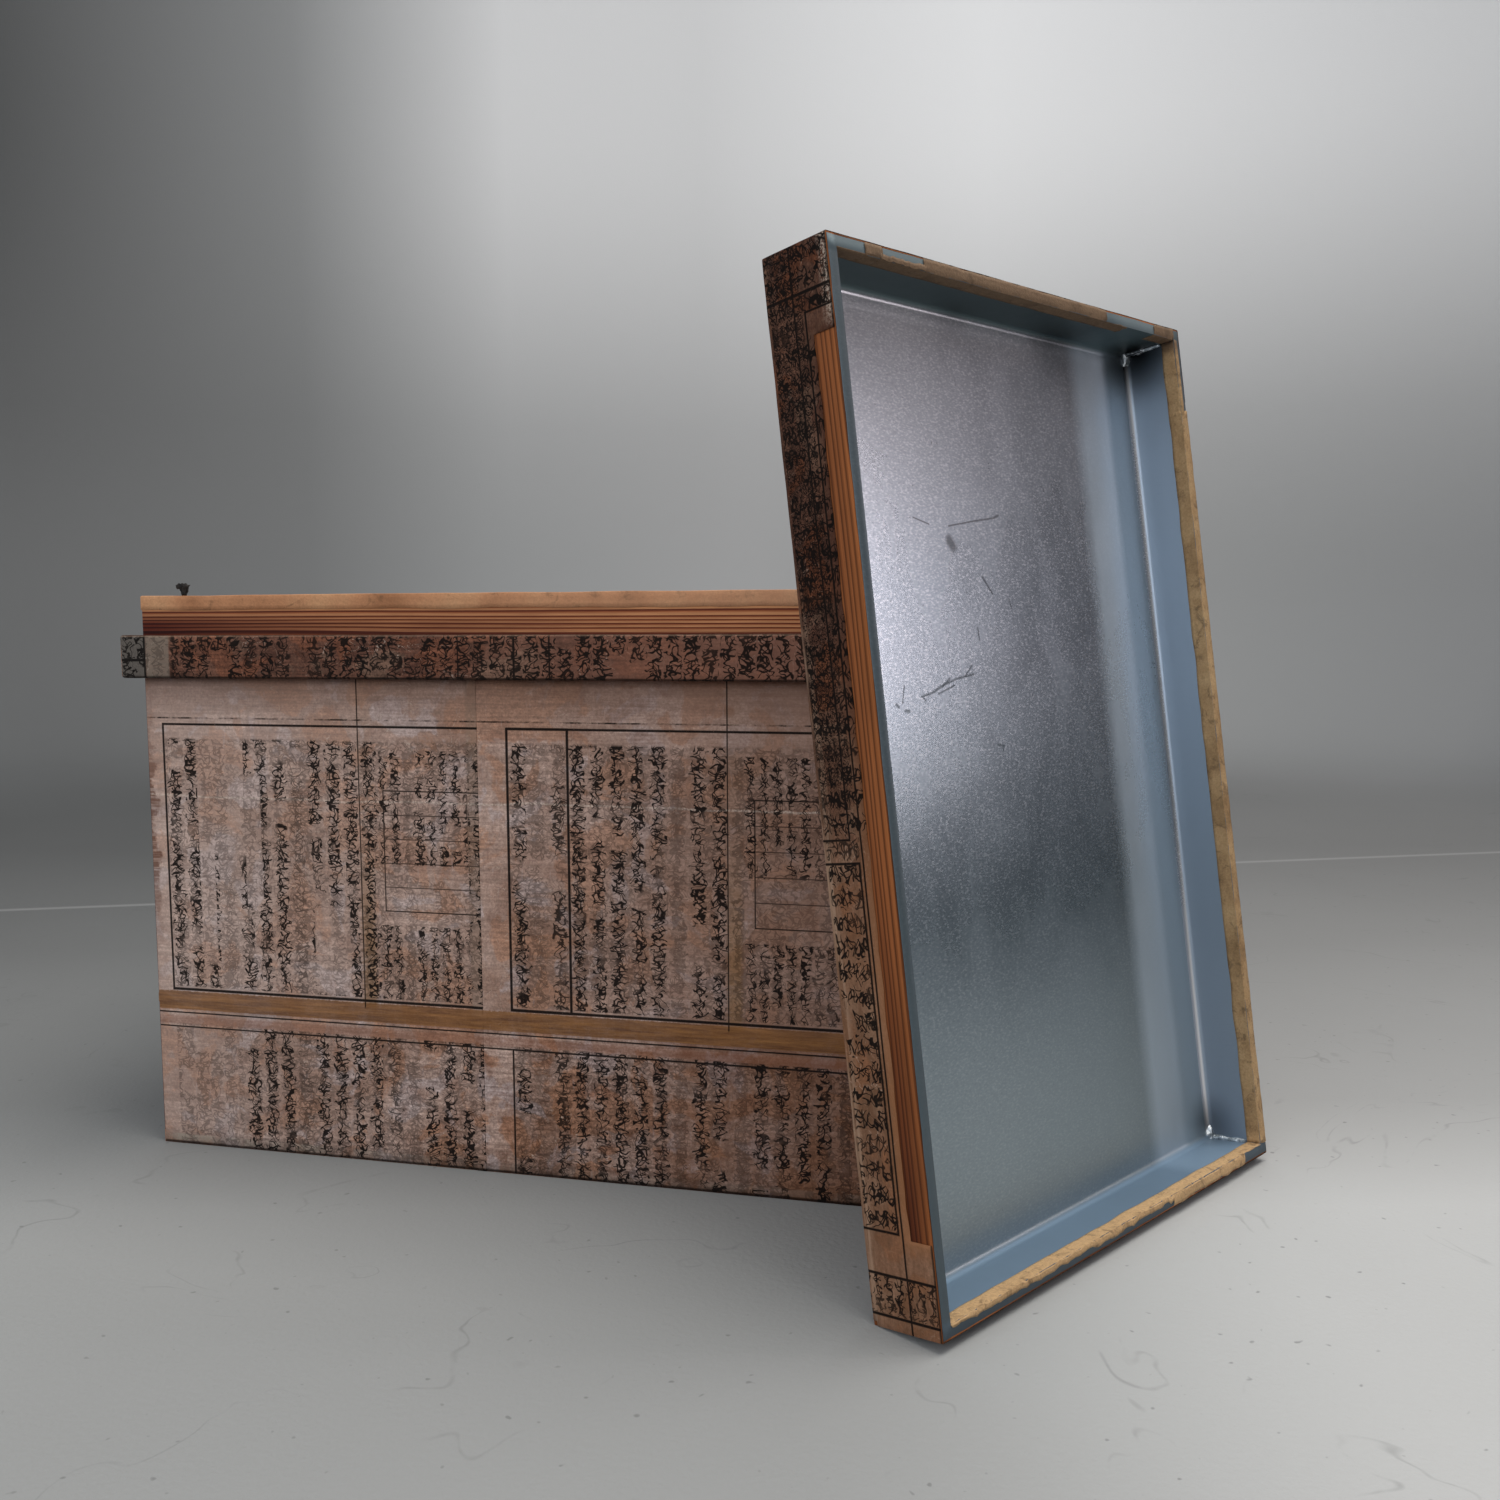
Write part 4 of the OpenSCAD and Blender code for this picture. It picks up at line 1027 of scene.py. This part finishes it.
for vert in beads.verts:
    corner = Vector((PAN_X if vert.co.x > 0 else -PAN_X, PAN_Y if vert.co.y > 0 else -PAN_Y))
    swell = 1 + 0.25 * noise.noise(vert.co * 300) + 0.45 * noise.noise(vert.co * 130)
    vert.co.xy = corner + (vert.co.xy - corner) * swell
piece("corner_solder", beads, solder, "lid", "solder", "lid_solder", thick=None, place=LID, crease=60)

# The dog-ear is the pan's spare metal at the upper right corner. It was folded in with the sheet, and has
# sprung off the end wall.
EAR_W = 0.011
ear = bmesh.new()
outline = [(0, 0), (EAR_W, 0.0037), (EAR_W, 0.011), (0, 0.0143)]
ear.faces.new([ear.verts.new((x, 0, -z)) for x, z in outline])
bmesh.ops.subdivide_edges(ear, edges=ear.edges, cuts=4, use_grid_fill=True)
for vert in ear.verts:
    vert.co.y += 0.09 * vert.co.x**2 / EAR_W + 0.0006 * noise.noise(vert.co * 200)
bmesh.ops.rotate(ear, matrix=Matrix.Rotation(radians(-90 - 24), 3, "Z"), verts=ear.verts)
bmesh.ops.translate(ear, vec=(PAN_X - 0.0004, PAN_Y - 0.0002, PAN_Z - 0.0034), verts=ear.verts)
piece("dog_ear", ear, lid_zinc, "lid", "zinc_coated_sheet", thick=0.0005, place=LID)

# Kraft tape over the lid's rim, folded down inside. It is torn off in places: each strip has its wall,
# where it starts and ends along it, how far in from the outer edge it is torn, and how ragged it is.
rubbed_kraft = new_finish("rubbed_kraft_tape")
where = add("TexCoord").outputs["Object"]
lid_place = add("Mapping", where, LID.translation, LID.to_euler(), vector_type="TEXTURE")
along_lid = add("SeparateXYZ", lid_place)
clouds = add("TexNoise", where, 34, 5, 0.65)
pulp = add("TexNoise", where, 620, 4, 0.7)
grime = add("TexNoise", where, 95, 5, 0.7, 2, 0.6)
tan = coats(
    add("ValToRGB", clouds, stops=[(0.34, "#866a49"), (0.5, "#a58660"), (0.68, "#b89a72")]),
    # Paler on the bottom end's tape, whose fold faces up, and darker on the top end's, whose fold faces
    # down: painted light and shade.
    (add("MapRange", along_lid, -0.31, -0.3, 0.7, 0), "#caa67a"),
    (add("MapRange", along_lid, 0.3, 0.31, 0, 0.85), "#6c5644"),
    (1, add("MapRange", pulp, 0.3, 0.7, 0.76, 1.16), "MULTIPLY"),
    (add("MapRange", grime, 0.54, 0.64, 0, 0.55), "#51402f"),
)
surface(tan, 0.76, pulp, 0.0004, Specular_IOR_Level=0.3)

WALL, INSIDE, SPACING, LIFT = 0.0084, 0.011, 0.003, 0.00025
STRIPS = [
    ("x", 1, -0.1952, -0.168, 0.0082, 0.0002), ("x", 1, -0.170, -0.154, 0.0008, 0.0005),
    ("x", 1, -0.156, -0.112, 0.0052, 0.0014), ("x", 1, -0.114, 0.098, 0.0004, 0.0006),
    ("x", 1, 0.096, 0.128, 0.0086, 0.0008), ("x", 1, 0.166, 0.1952, 0.0006, 0.0006),
    ("y", 1, -0.3122, 0.257, 0.0005, 0.0006), ("y", 1, 0.254, 0.3122, 0.0046, 0.0006),
    ("x", -1, -0.1952, -0.13, 0.0054, 0.0016), ("x", -1, -0.132, 0.062, 0.0046, 0.0024),
    ("x", -1, 0.06, 0.168, 0.0012, 0.0016), ("x", -1, 0.166, 0.1952, 0.0082, 0.0006),
]
strips = bmesh.new()
for axis, side, start, end, torn, ragged in STRIPS:
    count = max(4, round((end - start) / SPACING))
    made = bmesh.ops.create_grid(strips, x_segments=count, y_segments=9, size=0.5)["verts"]
    for vert in made:
        along = start + (end - start) * (vert.co.x + 0.5)
        here = Vector((along, side * 5 + (axis == "x") * 9, 0))
        rag = noise.noise(here * 90) + 0.6 * noise.noise(here * 260) + 0.9 * noise.noise(here * 24)
        outer = max(0.0001, torn + ragged * rag)
        inner = WALL + INSIDE + 0.0012 * noise.noise(here * 40 + Vector((0, 0, 5)))
        across = outer + (inner - outer) * (vert.co.y + 0.5)
        tip = min(vert.co.x + 0.5, 0.5 - vert.co.x) * (end - start)
        along += 0.0016 * noise.noise(Vector((across * 400, along * 9, 2))) * (tip < 0.002)
        down = max(0, across - WALL)
        lift = LIFT * (1 + noise.noise(here * 35 + Vector((0, across * 200, 0))))
        out = side * ((LID_X if axis == "x" else LID_Y) - min(across, WALL) - lift * (down > 0))
        height = down if down else -lift - 0.0001
        vert.co = (out, along, height) if axis == "x" else (along, out, height)
bmesh.ops.recalc_face_normals(strips, faces=strips.faces)
for face in strips.faces:
    middle = face.calc_center_median()
    if abs(face.normal.z) > 0.7:
        toward = Vector((0, 0, -1))
    else:
        toward = Vector((-middle.x, 0, 0)) if abs(face.normal.x) > 0.7 else Vector((0, -middle.y, 0))
    if face.normal.dot(toward) < 0:
        face.normal_flip()
piece("lid_rim_tape_strips", strips, rubbed_kraft, "lid", "kraft_tape", "lid_rim_tape", place=LID)
